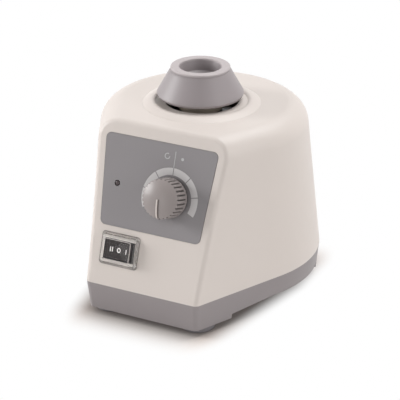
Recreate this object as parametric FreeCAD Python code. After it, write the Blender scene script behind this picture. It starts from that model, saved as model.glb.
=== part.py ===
import FreeCAD, Part
import math
import os

# Vortex mixer for test tubes, in millimetres. +Z is up and the control panel faces -Y.
# The origin is on the ground, under the motor axis that carries the mixing head.

V = FreeCAD.Vector

# Fits between pieces
running_clearance = 0.05
seat_clearance = 0.2
free_gap = 0.3

# How far a cutting shape runs past the face it cuts, and the tolerance for finding edges
cut_over = 1.0
tolerance = 1e-5

# Plan of the body at the seam between housing and base
body_depth = 148.0
front_width = 69.2
side_flare = 24.0
rear_arc_count = 4

# Upper housing
seam_height = 20.7
housing_top = 109.0
housing_wall = 2.5
top_side_draw = 7.0
top_rear_draw = 13.1
top_flare = 28.0
top_edge_radius = 13.0
crease_radius = 3.6
panel_lean = 18.4
head_opening_radius = 21.0
opening_recess_radius = 26.0
opening_recess_rise = 1.0
opening_ridge_radius = 28.6
opening_ridge_rise = 1.9
opening_ridge_foot_radius = 33.5
ridge_outer_share = 0.62
ridge_inner_fall = 0.15

# Base tray
base_bottom = 4.5
base_draft = 6.0
base_wall = 3.0
base_floor_bottom = 11.5
base_floor_thickness = 2.5
lip_height = 2.2
lip_thickness = 1.6
relief_front_inset = 25.0
relief_length = 80.0
relief_ramp_length = 29.0
relief_step_height = 7.2
relief_height = 9.4

# Feet and the screws that hold foot, base and housing together
foot_radius = 9.5
foot_edge_radius = 1.2
front_foot_side_inset = 7.1
front_foot_inset = 16.0
rear_foot_inset = 14.8
rear_foot_angle = 41.2
foot_boss_radius = 10.5
screw_boss_radius = 4.6
screw_boss_height = 8.8
boss_rib_thickness = 2.0
screw_radius = 1.75
screw_head_radius = 3.4
screw_head_height = 2.4
screw_head_recess = 1.2
screw_engagement = 8.0

# Ballast and the floating motor mount
ballast_thickness = 9.0
ballast_wall_gap = 1.5
post_radius = 3.0
post_stack_gap = 0.5
post_engagement = 7.0
post_collar_radius = 5.5
post_collar_height = 3.0
damper_radius = 7.0
damper_waist_radius = 5.6
damper_height = 13.0
press_travel = 1.5
plate_thickness = 3.0
plate_margin = 8.0
plate_inlet_gap = 1.0
plate_corner_radius = 7.0
post_guide_radius = 5.5
post_guide_height = 3.0

# Motor
motor_rear_gap = 7.0
stack_corner_radius = 7.0
stator_yoke = 7.0
air_gap = 0.3
slot_count = 12
slot_radius = 2.4
slot_depth = 3.6
slot_mouth = 2.0
coil_height = 7.0
coil_bore_inset = 1.5
coil_side_margin = 4.5
bracket_thickness = 3.0
bracket_boss_radius = 9.0
bracket_boss_height = 5.0
bracket_window_radius = 5.5
pillar_radius = 4.5
pillar_height = 9.0
motor_bolt_radius = 1.75
motor_bolt_inset = 6.0
bolt_head_radius = 3.2
bolt_head_height = 2.4
shaft_radius = 3.0
shaft_tail = 2.0
bush_radius = 5.0
end_ring_height = 2.5
end_ring_inset = 2.2

# Eccentric and head bearing
crank_offset = 2.0
crank_angle = 140.0
crank_gap = 2.0
crank_disc_radius = 11.0
crank_disc_height = 8.0
counterweight_radius = 17.5
shaft_socket_depth = 6.0
crank_shoulder_height = 1.6
crank_shoulder_radius = 5.4
clamp_screw_radius = 1.5
clamp_screw_length = 6.5
bearing_drop = 3.4
bearing_bore_radius = 4.0
bearing_radius = 11.0
bearing_width = 7.0
bearing_race_thickness = 2.2
ball_radius = 2.0
ball_count = 7
bearing_screw_radius = 2.0
bearing_screw_depth = 5.0
bearing_screw_head_radius = 5.4
bearing_screw_head_height = 2.2

# Mixing head
hub_wall = 1.5
hub_lip = 0.5
hub_roof_gap = 1.0
hub_cap_thickness = 3.0
cup_gap = 4.0
cup_height = 17.0
cup_skirt_edge_radius = 23.9
cup_belly_radius = 24.6
cup_belly_height = 1.6
cup_shoulder_radius = 17.4
cup_rim_radius = 16.9
cup_skirt_bulge = 0.2
cup_skirt_bulge_share = 0.45
cup_rim_height = 2.4
cup_rim_step = 0.5
cup_rim_round = 0.8
cup_mouth_radius = 11.9
cup_bowl_radius = 10.4
cup_bowl_side = 6.6
cup_skirt_thickness = 2.8
cup_web_gap = 1.8
cup_cavity_depth = 3.0
cup_cavity_taper = 1.0

# Control panel: positions are measured across the panel and up its slope from the seam
label_side_margin = 5.4
label_bottom = 34.0
label_top_margin = 7.9
label_corner_radius = 3.0
label_thickness = 0.5
label_recess = 0.35
lamp_x = -23.8
lamp_rise = 24.0
lamp_radius = 1.5
lamp_proud = 0.3
lamp_tip_radius = 0.9
knob_x = 9.0
knob_rise = 21.8
knob_base_radius = 11.4
knob_face_radius = 10.5
knob_height = 14.5
knob_gap = 0.6
knob_skirt_height = 2.0
knob_dome_rise = 2.8
knob_edge_radius = 0.9
knob_flute_count = 32
knob_flute_radius = 0.6
knob_flute_offset = 0.1
knob_pointer_width = 1.0
knob_pointer_depth = 0.5
knob_pointer_drop = 1.6
knob_cap_thickness = 3.0
knob_boss_radius = 5.2
knob_wall = 2.2
pot_radius = 8.5
pot_depth = 11.0
pot_shaft_radius = 3.0
pot_bushing_radius = 3.5
pot_bushing_length = 5.6
pot_nut_flats = 10.0
pot_nut_thickness = 2.0

# Power switch with its splash cover
switch_x = -16.6
switch_slope = 21.3
switch_bezel_width = 20.6
switch_bezel_height = 14.6
switch_bezel_thickness = 1.6
switch_box_width = 18.8
switch_box_height = 12.6
switch_box_depth = 15.0
rocker_width = 16.0
rocker_height = 10.0
rocker_well_gap = 0.8
rocker_well_depth = 7.0
rocker_pivot_depth = 1.6
rocker_hub_radius = 2.6
rocker_pin_radius = 1.0
rocker_pin_length = 1.0
rocker_end_rise = 2.3
rocker_middle_rise = 1.4
rocker_end_thickness = 2.6
terminal_width = 4.8
terminal_thickness = 0.8
terminal_length = 8.0
terminal_pitch = 6.4
cover_width = 23.4
cover_height = 18.0
cover_flange_thickness = 0.8
cover_wall = 0.6
cover_rise = 4.5
cover_corner_radius = 1.6
cover_edge_radius = 1.0

# Control board behind the panel
board_width = 56.0
board_height = 32.0
board_thickness = 1.6
capacitor_size = (18.0, 9.0, 11.0)
choke_radius = 5.5
choke_height = 9.0
triac_size = (10.0, 4.5, 9.0)
connector_size = (14.0, 7.0, 8.0)
component_margin = 3.0

# Mains inlet at the rear
inlet_height = 44.0
inlet_pocket_width = 35.0
inlet_pocket_height = 28.0
inlet_pocket_depth = 10.0
inlet_pad_thickness = 2.5
inlet_pad_margin = 2.5
inlet_flange_width = 31.0
inlet_flange_height = 25.0
inlet_flange_thickness = 2.0
inlet_body_width = 27.4
inlet_body_height = 20.0
inlet_body_depth = 20.0
inlet_socket_width = 24.4
inlet_socket_height = 16.4
inlet_socket_depth = 17.0
inlet_socket_chamfer = 4.0
inlet_pin_width = 2.0
inlet_pin_height = 4.0
inlet_pin_length = 12.0
inlet_pin_spacing = 14.0
inlet_earth_drop = 4.0
inlet_tail_length = 8.0

# Press switch below the motor plate
press_switch_gap = 3.0
press_switch_width = 6.4
press_switch_length = 20.0
lever_length = 16.0
lever_width = 4.0
lever_thickness = 0.6
lever_pin_radius = 0.8
lever_tip_radius = 1.2
lever_over_travel = 0.6
lever_ear_reach = 2.4
trip_tab_width = 9.0

# Values that follow from the sizes above
flare = math.radians(side_flare)
lean = math.radians(panel_lean)
round_inset = 1 - math.sqrt(0.5)
front_y = -body_depth / 2
rear_y = front_y + body_depth
rear_radius = (front_width / 2 * math.cos(flare) + body_depth * math.sin(flare)) / (1 + math.sin(flare))
rear_centre_y = rear_y - rear_radius
top_rear_radius = rear_radius - top_side_draw
top_centre_y = rear_y - top_rear_draw - top_rear_radius
panel_length = (housing_top - seam_height) / math.cos(lean)

floor_top = base_floor_bottom + base_floor_thickness
ballast_top = floor_top + ballast_thickness
plate_bottom = ballast_top + damper_height
plate_top = plate_bottom + plate_thickness
stack_bottom = plate_top + bracket_thickness + pillar_height
bearing_bottom = housing_top - bearing_drop
bearing_top = bearing_bottom + bearing_width
crank_top = bearing_bottom - crank_shoulder_height
crank_bottom = crank_top - crank_disc_height
upper_boss_top = crank_bottom - crank_gap
upper_bracket_top = upper_boss_top - bracket_boss_height
upper_bracket_bottom = upper_bracket_top - bracket_thickness
stack_top = upper_bracket_bottom - pillar_height
shaft_bottom = plate_top - shaft_tail
shaft_top = crank_bottom + shaft_socket_depth
ball_pitch_radius = (bearing_bore_radius + bearing_radius) / 2
hub_radius = bearing_radius + hub_wall
hub_bottom = bearing_bottom - hub_lip
hub_top = bearing_top + bearing_screw_head_height + hub_roof_gap + hub_cap_thickness
bowl_bottom = hub_top + cup_web_gap
cup_skirt_bottom = housing_top + cup_gap
cup_top = cup_skirt_bottom + cup_height

inlet_face_y = rear_y - inlet_pocket_depth
inlet_tail_y = inlet_face_y - inlet_body_depth - inlet_tail_length
inlet_pin_places = (
    (-inlet_pin_spacing / 2, 0.0),
    (0.0, -inlet_earth_drop),
    (inlet_pin_spacing / 2, 0.0),
)
stack_width = 2 * (inlet_tail_y - motor_rear_gap)
stator_bore = stack_width / 2 - stator_yoke - slot_radius - slot_depth
rotor_radius = stator_bore - air_gap
end_ring_radius = rotor_radius - end_ring_inset
coil_inner_radius = stator_bore + coil_bore_inset
coil_outer_radius = stack_width / 2 - coil_side_margin
bolt_reach = stack_width / 2 - motor_bolt_inset
bolt_places = [(sx * bolt_reach, sy * bolt_reach) for sx in (-1, 1) for sy in (-1, 1)]
post_x = stack_width / 2 + post_collar_radius + post_stack_gap
post_y = inlet_tail_y - plate_inlet_gap - plate_margin
post_places = [(sx * post_x, sy * post_y) for sx in (-1, 1) for sy in (-1, 1)]

front_foot_x = front_width / 2 - front_foot_side_inset
rear_foot_reach = rear_radius - rear_foot_inset
rear_foot_x = rear_foot_reach * math.cos(math.radians(rear_foot_angle))
rear_foot_y = rear_centre_y + rear_foot_reach * math.sin(math.radians(rear_foot_angle))
foot_places = (
    ("front_left", -front_foot_x, front_y + front_foot_inset),
    ("front_right", front_foot_x, front_y + front_foot_inset),
    ("rear_left", -rear_foot_x, rear_foot_y),
    ("rear_right", rear_foot_x, rear_foot_y),
)
screw_seat = screw_head_recess + screw_head_height

label_top = panel_length - label_top_margin
lamp_slope = label_bottom + lamp_rise
knob_slope = label_bottom + knob_rise
knob_bottom = label_thickness - label_recess + knob_gap
knob_top = knob_bottom + knob_height
board_outer = -(housing_wall + pot_depth)
board_inner = board_outer - board_thickness
pot_shaft_back = board_outer + board_thickness
pot_shaft_front = knob_top - knob_cap_thickness
press_switch_x = -(post_x + plate_margin + press_switch_gap)
lever_pivot_y = lever_length / 2
lever_tip_y = -lever_length / 2
lever_tip_z = plate_bottom - free_gap - lever_tip_radius
press_switch_top = lever_tip_z - lever_tip_radius - press_travel - lever_over_travel
lever_pivot_z = press_switch_top + 2 * lever_pin_radius


def cylinder(radius, bottom, top, x=0.0, y=0.0):
    """Upright cylinder between two heights."""
    return Part.makeCylinder(radius, top - bottom, V(x, y, bottom))


def block(x0, x1, y0, y1, z0, z1):
    """Box between two opposite corners."""
    return Part.makeBox(x1 - x0, y1 - y0, z1 - z0, V(x0, y0, z0))


def upright_edges(shape):
    """Straight edges of a shape that run along Z."""
    found = []
    for edge in shape.Edges:
        run = edge.Vertexes[-1].Point - edge.Vertexes[0].Point
        if abs(run.z) > tolerance and math.hypot(run.x, run.y) < tolerance:
            found.append(edge)
    return found


def rounded_block(width, depth, bottom, top, radius, x=0.0, y=0.0):
    """Box centred on x and y with rounded upright edges."""
    box = block(x - width / 2, x + width / 2, y - depth / 2, y + depth / 2, bottom, top)
    return box.makeFillet(radius, upright_edges(box))


def outline(start, *steps):
    """Closed wire of (radius, height) points; a step of two points is an arc through the first."""
    edges = []
    here = V(start[0], 0, start[1])
    for step in steps + (start,):
        if isinstance(step[0], tuple):
            middle = V(step[0][0], 0, step[0][1])
            there = V(step[1][0], 0, step[1][1])
            edges.append(Part.Arc(here, middle, there).toShape())
        else:
            there = V(step[0], 0, step[1])
            edges.append(Part.makeLine(here, there))
        here = there
    return Part.Wire(edges)


def revolved(start, *steps):
    """Solid of revolution about the Z axis."""
    return Part.Face(outline(start, *steps)).revolve(V(0, 0, 0), V(0, 0, 1), 360)


def moved(shape, x=0.0, y=0.0, z=0.0):
    """Copy of a shape, shifted."""
    copy = shape.copy()
    copy.translate(V(x, y, z))
    return copy


def on_crank(shape, offset=crank_offset):
    """Place a shape drawn round the Z axis on the crank pin, in the direction of the crank."""
    placed = moved(shape, offset)
    placed.rotate(V(0, 0, 0), V(0, 0, 1), crank_angle)
    return placed


def on_panel(shape):
    """Place a shape drawn with X across the panel, Y up its slope and Z out of it."""
    placed = shape.copy()
    placed.rotate(V(0, 0, 0), V(1, 0, 0), 90 - panel_lean)
    placed.translate(V(0, front_y, seam_height))
    return placed


def out_of_panel(point):
    """Distance of a point in front of the panel plane."""
    return -(point.y - front_y) * math.cos(lean) + (point.z - seam_height) * math.sin(lean)


def plan_wire(radius, centre_y, opening, front, z):
    """Plan of the body: a straight front, two sides that open by an angle and a round rear."""
    half = (radius + (front - centre_y) * math.sin(opening)) / math.cos(opening)
    sweep = math.pi + 2 * opening

    def round_point(share):
        angle = share * sweep - opening
        return V(radius * math.cos(angle), centre_y + radius * math.sin(angle), z)

    edges = [
        Part.makeLine(V(-half, front, z), V(half, front, z)),
        Part.makeLine(V(half, front, z), round_point(0)),
    ]
    for step in range(rear_arc_count):
        shares = [(step + part) / rear_arc_count for part in (0, 0.5, 1)]
        edges.append(Part.Arc(*[round_point(share) for share in shares]).toShape())
    edges.append(Part.makeLine(round_point(1), V(-half, front, z)))
    return Part.Wire(edges)


def housing_form(inset):
    """Closed form of the housing, drawn in by a wall thickness on every side but the bottom."""
    top = housing_top - inset
    forward = front_y - top_edge_radius
    low = plan_wire(rear_radius - inset, rear_centre_y, flare, forward, seam_height)
    high = plan_wire(top_rear_radius - inset, top_centre_y, math.radians(top_flare), forward, top)
    form = Part.makeLoft([low, high], True, True)
    rim = []
    for edge in form.Edges:
        middle = edge.valueAt((edge.FirstParameter + edge.LastParameter) / 2)
        if abs(middle.z - top) < tolerance and middle.y > forward + tolerance:
            rim.append(edge)
    form = form.makeFillet(top_edge_radius - inset, rim)
    reach = body_depth
    ahead = block(-reach, reach, -reach, reach, -inset, reach)
    form = form.cut(on_panel(ahead))
    if inset > 0:
        return form
    crease = []
    for edge in form.Edges:
        ends = [edge.valueAt(edge.FirstParameter), edge.valueAt(edge.LastParameter)]
        on_plane = all(abs(out_of_panel(point)) < tolerance for point in ends)
        if on_plane and max(point.z for point in ends) > seam_height + tolerance:
            crease.append(edge)
    return form.makeFillet(crease_radius, crease)


def base_form(inset, bottom, top):
    """Drafted form of the base between two heights, drawn in by a wall thickness."""
    wires = []
    for z in (bottom, top):
        drawn_in = inset + (seam_height - z) * math.tan(math.radians(base_draft))
        wires.append(plan_wire(rear_radius - drawn_in, rear_centre_y, flare, front_y + drawn_in, z))
    form = Part.makeLoft(wires, True, True)
    corners = []
    for edge in form.Edges:
        middle = edge.valueAt((edge.FirstParameter + edge.LastParameter) / 2)
        upright = abs(edge.Vertexes[0].Point.z - edge.Vertexes[-1].Point.z) > tolerance
        if upright and middle.y < front_y / 2:
            corners.append(edge)
    return form.makeFillet(crease_radius, corners)


def upper_housing():
    """Moulded shell with the head opening, its raised collar, the panel cut-outs and the screw bosses."""
    outer = housing_form(0)
    recess_floor = housing_top + opening_recess_rise
    ridge_top = housing_top + opening_ridge_rise
    outer_middle = (opening_ridge_foot_radius + opening_ridge_radius) / 2
    outer_rise = housing_top + opening_ridge_rise * ridge_outer_share
    inner_middle = (opening_ridge_radius + opening_recess_radius) / 2
    collar = revolved(
        (head_opening_radius, housing_top - housing_wall),
        (opening_ridge_foot_radius, housing_top - housing_wall),
        (opening_ridge_foot_radius, housing_top),
        ((outer_middle, outer_rise), (opening_ridge_radius, ridge_top)),
        ((inner_middle, ridge_top - ridge_inner_fall), (opening_recess_radius, recess_floor)),
        (head_opening_radius, recess_floor),
    )
    shell = outer.cut(housing_form(housing_wall)).fuse(collar)

    half_pad = inlet_pocket_width / 2 + inlet_pad_margin
    tall_pad = inlet_pocket_height / 2 + inlet_pad_margin
    pad = block(-half_pad, half_pad, inlet_face_y - inlet_pad_thickness, inlet_face_y + inlet_pocket_depth,
                inlet_height - tall_pad, inlet_height + tall_pad)
    shell = shell.fuse(pad.common(outer))
    for name, x, y in foot_places:
        boss = cylinder(screw_boss_radius, seam_height, seam_height + screw_boss_height, x, y)
        far_x = math.copysign(rear_radius, x)
        rib = block(min(x, far_x), max(x, far_x), y - boss_rib_thickness / 2, y + boss_rib_thickness / 2,
                    seam_height + lip_height + seat_clearance, seam_height + screw_boss_height)
        shell = shell.fuse(boss).fuse(rib.common(outer))
    for name, x, y in foot_places:
        shell = shell.cut(cylinder(screw_radius, seam_height, seam_height + screw_engagement, x, y))

    shell = shell.cut(cylinder(head_opening_radius, housing_top - top_edge_radius, ridge_top + cut_over))
    pocket = block(-inlet_pocket_width / 2, inlet_pocket_width / 2, inlet_face_y, inlet_face_y + body_depth,
                   inlet_height - inlet_pocket_height / 2, inlet_height + inlet_pocket_height / 2)
    wide = inlet_body_width / 2 + seat_clearance
    tall = inlet_body_height / 2 + seat_clearance
    cut_out = block(-wide, wide, inlet_face_y - inlet_pocket_depth, inlet_face_y + cut_over,
                    inlet_height - tall, inlet_height + tall)
    shell = shell.cut(pocket).cut(cut_out)

    behind = -housing_wall - cut_over
    wide = switch_box_width / 2 + seat_clearance
    tall = switch_box_height / 2 + seat_clearance
    panel_cuts = [
        label_blank(seat_clearance, -label_recess, cut_over),
        cylinder(pot_bushing_radius + seat_clearance, behind, cut_over, knob_x, knob_slope),
        cylinder(lamp_radius + seat_clearance, behind, cut_over, lamp_x, lamp_slope),
        block(switch_x - wide, switch_x + wide, switch_slope - tall, switch_slope + tall, behind, cut_over),
    ]
    for cut in panel_cuts:
        shell = shell.cut(on_panel(cut))
    return shell.removeSplitter()


def base_tray():
    """Base with a raised floor, a lip inside the housing, foot bosses and undercut side skirts."""
    outer = base_form(0, base_bottom, seam_height)
    tray = outer.cut(base_form(base_wall, floor_top, seam_height))
    tray = tray.cut(base_form(base_wall, base_bottom, base_floor_bottom))
    lip_inset = housing_wall + seat_clearance
    root = base_form(lip_inset, floor_top, seam_height)
    root = root.cut(base_form(lip_inset + lip_thickness, floor_top, seam_height))
    reach = body_depth
    tongue = housing_form(lip_inset).cut(housing_form(lip_inset + lip_thickness))
    tongue = tongue.common(block(-reach, reach, -reach, reach, seam_height, seam_height + lip_height))
    tray = tray.fuse(root).fuse(tongue)

    start = front_y + relief_front_inset
    end = start + relief_length
    side = Part.makePolygon([
        V(-reach, start, 0),
        V(-reach, end, 0),
        V(-reach, end, relief_height),
        V(-reach, start + relief_ramp_length, relief_height),
        V(-reach, start, relief_step_height),
        V(-reach, start, 0),
    ])
    tray = tray.cut(Part.Face(side).extrude(V(2 * reach, 0, 0)))
    for name, x, y in foot_places:
        tray = tray.fuse(cylinder(foot_boss_radius, base_bottom, base_floor_bottom, x, y).common(outer))
        tray = tray.fuse(cylinder(screw_boss_radius, floor_top, seam_height, x, y))
    for name, x, y in foot_places:
        tray = tray.cut(cylinder(screw_radius + seat_clearance, 0, seam_height + cut_over, x, y))
    return tray.removeSplitter()


def foot(x, y):
    """Rubber foot with a rounded lower edge and a recess for its screw."""
    pad = cylinder(foot_radius, 0, base_bottom, x, y)
    low = [edge for edge in pad.Edges if abs(edge.BoundBox.ZMax) < tolerance]
    pad = pad.makeFillet(foot_edge_radius, low)
    pad = pad.cut(cylinder(screw_head_radius + seat_clearance, 0, screw_seat, x, y))
    return pad.cut(cylinder(screw_radius + seat_clearance, 0, base_bottom, x, y))


def base_screw(x, y):
    """Long screw through a foot and the base into a boss of the housing."""
    head = cylinder(screw_head_radius, screw_head_recess, screw_seat, x, y)
    shank = cylinder(screw_radius, screw_seat, seam_height + screw_engagement, x, y)
    return head.fuse(shank).removeSplitter()


def ballast_plate():
    """Iron plate that fills the floor of the base and carries the posts."""
    inset = base_wall + lip_thickness + ballast_wall_gap
    plate = base_form(inset, floor_top, seam_height)
    upper = base_form(inset, seam_height, ballast_top)
    plate = plate.fuse(upper)
    for name, x, y in foot_places:
        plate = plate.cut(cylinder(screw_boss_radius + ballast_wall_gap, floor_top, ballast_top, x, y))
    for x, y in post_places:
        plate = plate.cut(cylinder(post_radius, ballast_top - post_engagement, ballast_top, x, y))
    return plate.removeSplitter()


def guide_post(x, y):
    """Steel post with a collar that stops the motor plate at the top of its travel."""
    collar_bottom = plate_top + post_guide_height + free_gap
    collar_top = collar_bottom + post_collar_height
    shank = cylinder(post_radius, ballast_top - post_engagement, collar_top, x, y)
    return shank.fuse(cylinder(post_collar_radius, collar_bottom, collar_top, x, y)).removeSplitter()


def damper(x, y):
    """Waisted rubber sleeve round a post, between ballast and motor plate."""
    bore = post_radius + free_gap
    middle = (ballast_top + plate_bottom) / 2
    sleeve = revolved(
        (bore, ballast_top),
        (damper_radius, ballast_top),
        ((damper_waist_radius, middle), (damper_radius, plate_bottom)),
        (bore, plate_bottom),
    )
    return moved(sleeve, x, y)


def motor_plate():
    """Floating plate with post guides, a shaft hole, bolt holes and a tab over the press switch."""
    width = 2 * (post_x + plate_margin)
    depth = 2 * (post_y + plate_margin)
    plate = rounded_block(width, depth, plate_bottom, plate_top, plate_corner_radius)
    tab_out = press_switch_x - press_switch_width / 2
    tip_y = lever_tip_y
    plate = plate.fuse(block(tab_out, 0, tip_y - trip_tab_width / 2, tip_y + trip_tab_width / 2,
                             plate_bottom, plate_top))
    for x, y in post_places:
        plate = plate.fuse(cylinder(post_guide_radius, plate_top, plate_top + post_guide_height, x, y))
    for x, y in post_places:
        plate = plate.cut(cylinder(post_radius + running_clearance, plate_bottom,
                                   plate_top + post_guide_height, x, y))
    for x, y in bolt_places:
        plate = plate.cut(cylinder(motor_bolt_radius, plate_bottom, plate_top, x, y))
    return plate.cut(cylinder(bush_radius + seat_clearance, plate_bottom, plate_top)).removeSplitter()


def motor_bracket(flange_bottom, pillar_bottom, boss_bottom, boss_top):
    """End bracket: a square flange with windows, four pillars to the stack and a boss for the bush."""
    flange_top = flange_bottom + bracket_thickness
    bracket = rounded_block(stack_width, stack_width, flange_bottom, flange_top, stack_corner_radius)
    window_reach = (bracket_boss_radius + stack_width / 2) / 2
    for quarter in range(4):
        angle = math.radians(90 * quarter)
        bracket = bracket.cut(cylinder(bracket_window_radius, flange_bottom, flange_top,
                                       window_reach * math.cos(angle), window_reach * math.sin(angle)))
    bracket = bracket.fuse(cylinder(bracket_boss_radius, boss_bottom, boss_top))
    for x, y in bolt_places:
        bracket = bracket.fuse(cylinder(pillar_radius, pillar_bottom, pillar_bottom + pillar_height, x, y))
    for x, y in bolt_places:
        bracket = bracket.cut(cylinder(motor_bolt_radius, plate_bottom, upper_boss_top, x, y))
    return bracket.cut(cylinder(bush_radius, boss_bottom, boss_top)).removeSplitter()


def bush(bottom, top):
    """Plain bearing bush of the motor shaft."""
    return cylinder(bush_radius, bottom, top).cut(cylinder(shaft_radius + running_clearance, bottom, top))


def stator_stack():
    """Lamination stack with rounded corners, winding slots round the bore and bolt holes."""
    slot_reach = stator_bore + slot_depth
    stack = rounded_block(stack_width, stack_width, stack_bottom, stack_top, stack_corner_radius)
    stack = stack.cut(cylinder(stator_bore, stack_bottom, stack_top))
    for index in range(slot_count):
        slot = cylinder(slot_radius, stack_bottom, stack_top, slot_reach)
        mouth = block(rotor_radius, slot_reach, -slot_mouth / 2, slot_mouth / 2, stack_bottom, stack_top)
        slot = slot.fuse(mouth)
        slot.rotate(V(0, 0, 0), V(0, 0, 1), (index + 0.5) * 360 / slot_count)
        stack = stack.cut(slot)
    for x, y in bolt_places:
        stack = stack.cut(cylinder(motor_bolt_radius, stack_bottom, stack_top, x, y))
    return stack.removeSplitter()


def stator_coil(seat, direction):
    """Rounded ring of winding ends on one face of the stack."""
    crown = seat + direction * coil_height
    middle = (coil_inner_radius + coil_outer_radius) / 2
    shoulder = seat + direction * coil_height / 2
    return revolved(
        (coil_inner_radius, seat),
        (coil_outer_radius, seat),
        (coil_outer_radius, shoulder),
        ((middle, crown), (coil_inner_radius, shoulder)),
    )


def motor_bolt(x, y):
    """Through bolt from the motor plate to the upper bracket."""
    head = cylinder(bolt_head_radius, upper_bracket_top, upper_bracket_top + bolt_head_height, x, y)
    return head.fuse(cylinder(motor_bolt_radius, plate_bottom, upper_bracket_top, x, y)).removeSplitter()


def rotor_core():
    """Rotor stack with a narrower conductor ring on each end."""
    core = cylinder(rotor_radius, stack_bottom, stack_top)
    core = core.fuse(cylinder(end_ring_radius, stack_bottom - end_ring_height, stack_top + end_ring_height))
    return core.cut(cylinder(shaft_radius, shaft_bottom, shaft_top)).removeSplitter()


def eccentric_hub():
    """Clamped disc with an offset crank pin and a counterweight on the other side of the axis."""
    disc = cylinder(crank_disc_radius, crank_bottom, crank_top)
    reach = counterweight_radius
    weight = cylinder(reach, crank_bottom, crank_top)
    weight = weight.cut(block(-crank_offset, reach, -reach, reach, crank_bottom, crank_top))
    hub = disc.fuse(weight)
    hub = hub.fuse(cylinder(crank_shoulder_radius, crank_top, bearing_bottom, crank_offset))
    hub = hub.fuse(cylinder(bearing_bore_radius, bearing_bottom, bearing_top, crank_offset))
    hub = hub.cut(cylinder(shaft_radius, crank_bottom, shaft_top))
    screw_end = bearing_top - bearing_screw_depth
    hub = hub.cut(cylinder(bearing_screw_radius, screw_end, bearing_top, crank_offset))
    return on_crank(hub.removeSplitter(), 0).cut(clamp_screw(crank_disc_radius))


def clamp_screw(length):
    """Set screw that runs from the shaft out through the eccentric."""
    middle = (crank_bottom + shaft_top) / 2
    return on_crank(Part.makeCylinder(clamp_screw_radius, length, V(0, shaft_radius, middle), V(0, 1, 0)), 0)


def bearing_screw():
    """Screw that holds the bearing on the crank pin."""
    shank = cylinder(bearing_screw_radius, bearing_top - bearing_screw_depth, bearing_top)
    head = cylinder(bearing_screw_head_radius, bearing_top, bearing_top + bearing_screw_head_height)
    return on_crank(shank.fuse(head).removeSplitter())


def bearing_race(inner, outer):
    """Ring of the ball bearing with its groove."""
    middle = (bearing_bottom + bearing_top) / 2
    ring = cylinder(outer, bearing_bottom, bearing_top).cut(cylinder(inner, bearing_bottom, bearing_top))
    groove = Part.makeTorus(ball_pitch_radius, ball_radius + running_clearance, V(0, 0, middle))
    return on_crank(ring.cut(groove))


def bearing_ball(index):
    """One ball of the bearing."""
    angle = 2 * math.pi * index / ball_count
    middle = (bearing_bottom + bearing_top) / 2
    place = V(ball_pitch_radius * math.cos(angle), ball_pitch_radius * math.sin(angle), middle)
    return on_crank(Part.makeSphere(ball_radius, place))


def head_hub():
    """Hub that holds the bearing from below and carries the rubber cup."""
    roof = hub_top - hub_cap_thickness
    seat = bearing_radius - bearing_race_thickness / 2
    hub = cylinder(hub_radius, hub_bottom, hub_top)
    hub = hub.cut(cylinder(bearing_radius, hub_bottom, bearing_top))
    return on_crank(hub.cut(cylinder(seat, bearing_top, roof)).removeSplitter())


def cup():
    """Rubber cup: a flared skirt over the hub, a rounded rim and a bowl for the tube."""
    belly = cup_skirt_bottom + cup_belly_height
    shoulder = cup_top - cup_rim_height
    bulge = cup_belly_radius - cup_skirt_bulge
    bulge_z = cup_skirt_bottom + cup_belly_height * cup_skirt_bulge_share
    rim_out = cup_rim_radius - cup_rim_round * round_inset
    rim_up = cup_top - cup_rim_round * round_inset
    lip_in = cup_mouth_radius + cup_rim_round * round_inset
    side_low = cup_top - cup_bowl_side
    bowl_rise = side_low - bowl_bottom
    bowl_sphere = (cup_bowl_radius ** 2 + bowl_rise ** 2) / (2 * bowl_rise)
    bowl_middle = cup_bowl_radius / 2
    bowl_middle_z = bowl_bottom + bowl_sphere - math.sqrt(bowl_sphere ** 2 - bowl_middle ** 2)
    cavity_top = cup_skirt_bottom + cup_cavity_depth
    cavity_in = hub_radius + cup_web_gap
    cavity_out = cup_skirt_edge_radius - cup_skirt_thickness
    body = revolved(
        (0, hub_top),
        (hub_radius, hub_top),
        (hub_radius, cup_skirt_bottom),
        (cavity_in, cup_skirt_bottom),
        (cavity_in, cavity_top),
        (cavity_out - cup_cavity_taper, cavity_top),
        (cavity_out, cup_skirt_bottom),
        (cup_skirt_edge_radius, cup_skirt_bottom),
        ((bulge, bulge_z), (cup_belly_radius, belly)),
        (cup_shoulder_radius, shoulder),
        (cup_rim_radius, shoulder + cup_rim_step),
        (cup_rim_radius, cup_top - cup_rim_round),
        ((rim_out, rim_up), (cup_rim_radius - cup_rim_round, cup_top)),
        (cup_mouth_radius + cup_rim_round, cup_top),
        ((lip_in, rim_up), (cup_mouth_radius, cup_top - cup_rim_round)),
        (cup_bowl_radius, side_low),
        ((bowl_middle, bowl_middle_z), (0, bowl_bottom)),
    )
    return on_crank(body)


def panel_half_width(slope):
    """Half the width of the panel at a distance up its slope, out to the sharp crease."""
    share = slope / panel_length
    forward = front_y - top_edge_radius
    ends = []
    for radius, centre_y, opening in (
        (rear_radius, rear_centre_y, flare),
        (top_rear_radius, top_centre_y, math.radians(top_flare)),
    ):
        corner = (radius + (forward - centre_y) * math.sin(opening)) / math.cos(opening)
        ends.append((corner, radius * math.cos(opening), centre_y - radius * math.sin(opening)))
    corner, side_x, side_y = [low + (high - low) * share for low, high in zip(*ends)]
    along = (front_y + slope * math.sin(lean) - forward) / (side_y - forward)
    return corner + (side_x - corner) * along


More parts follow.
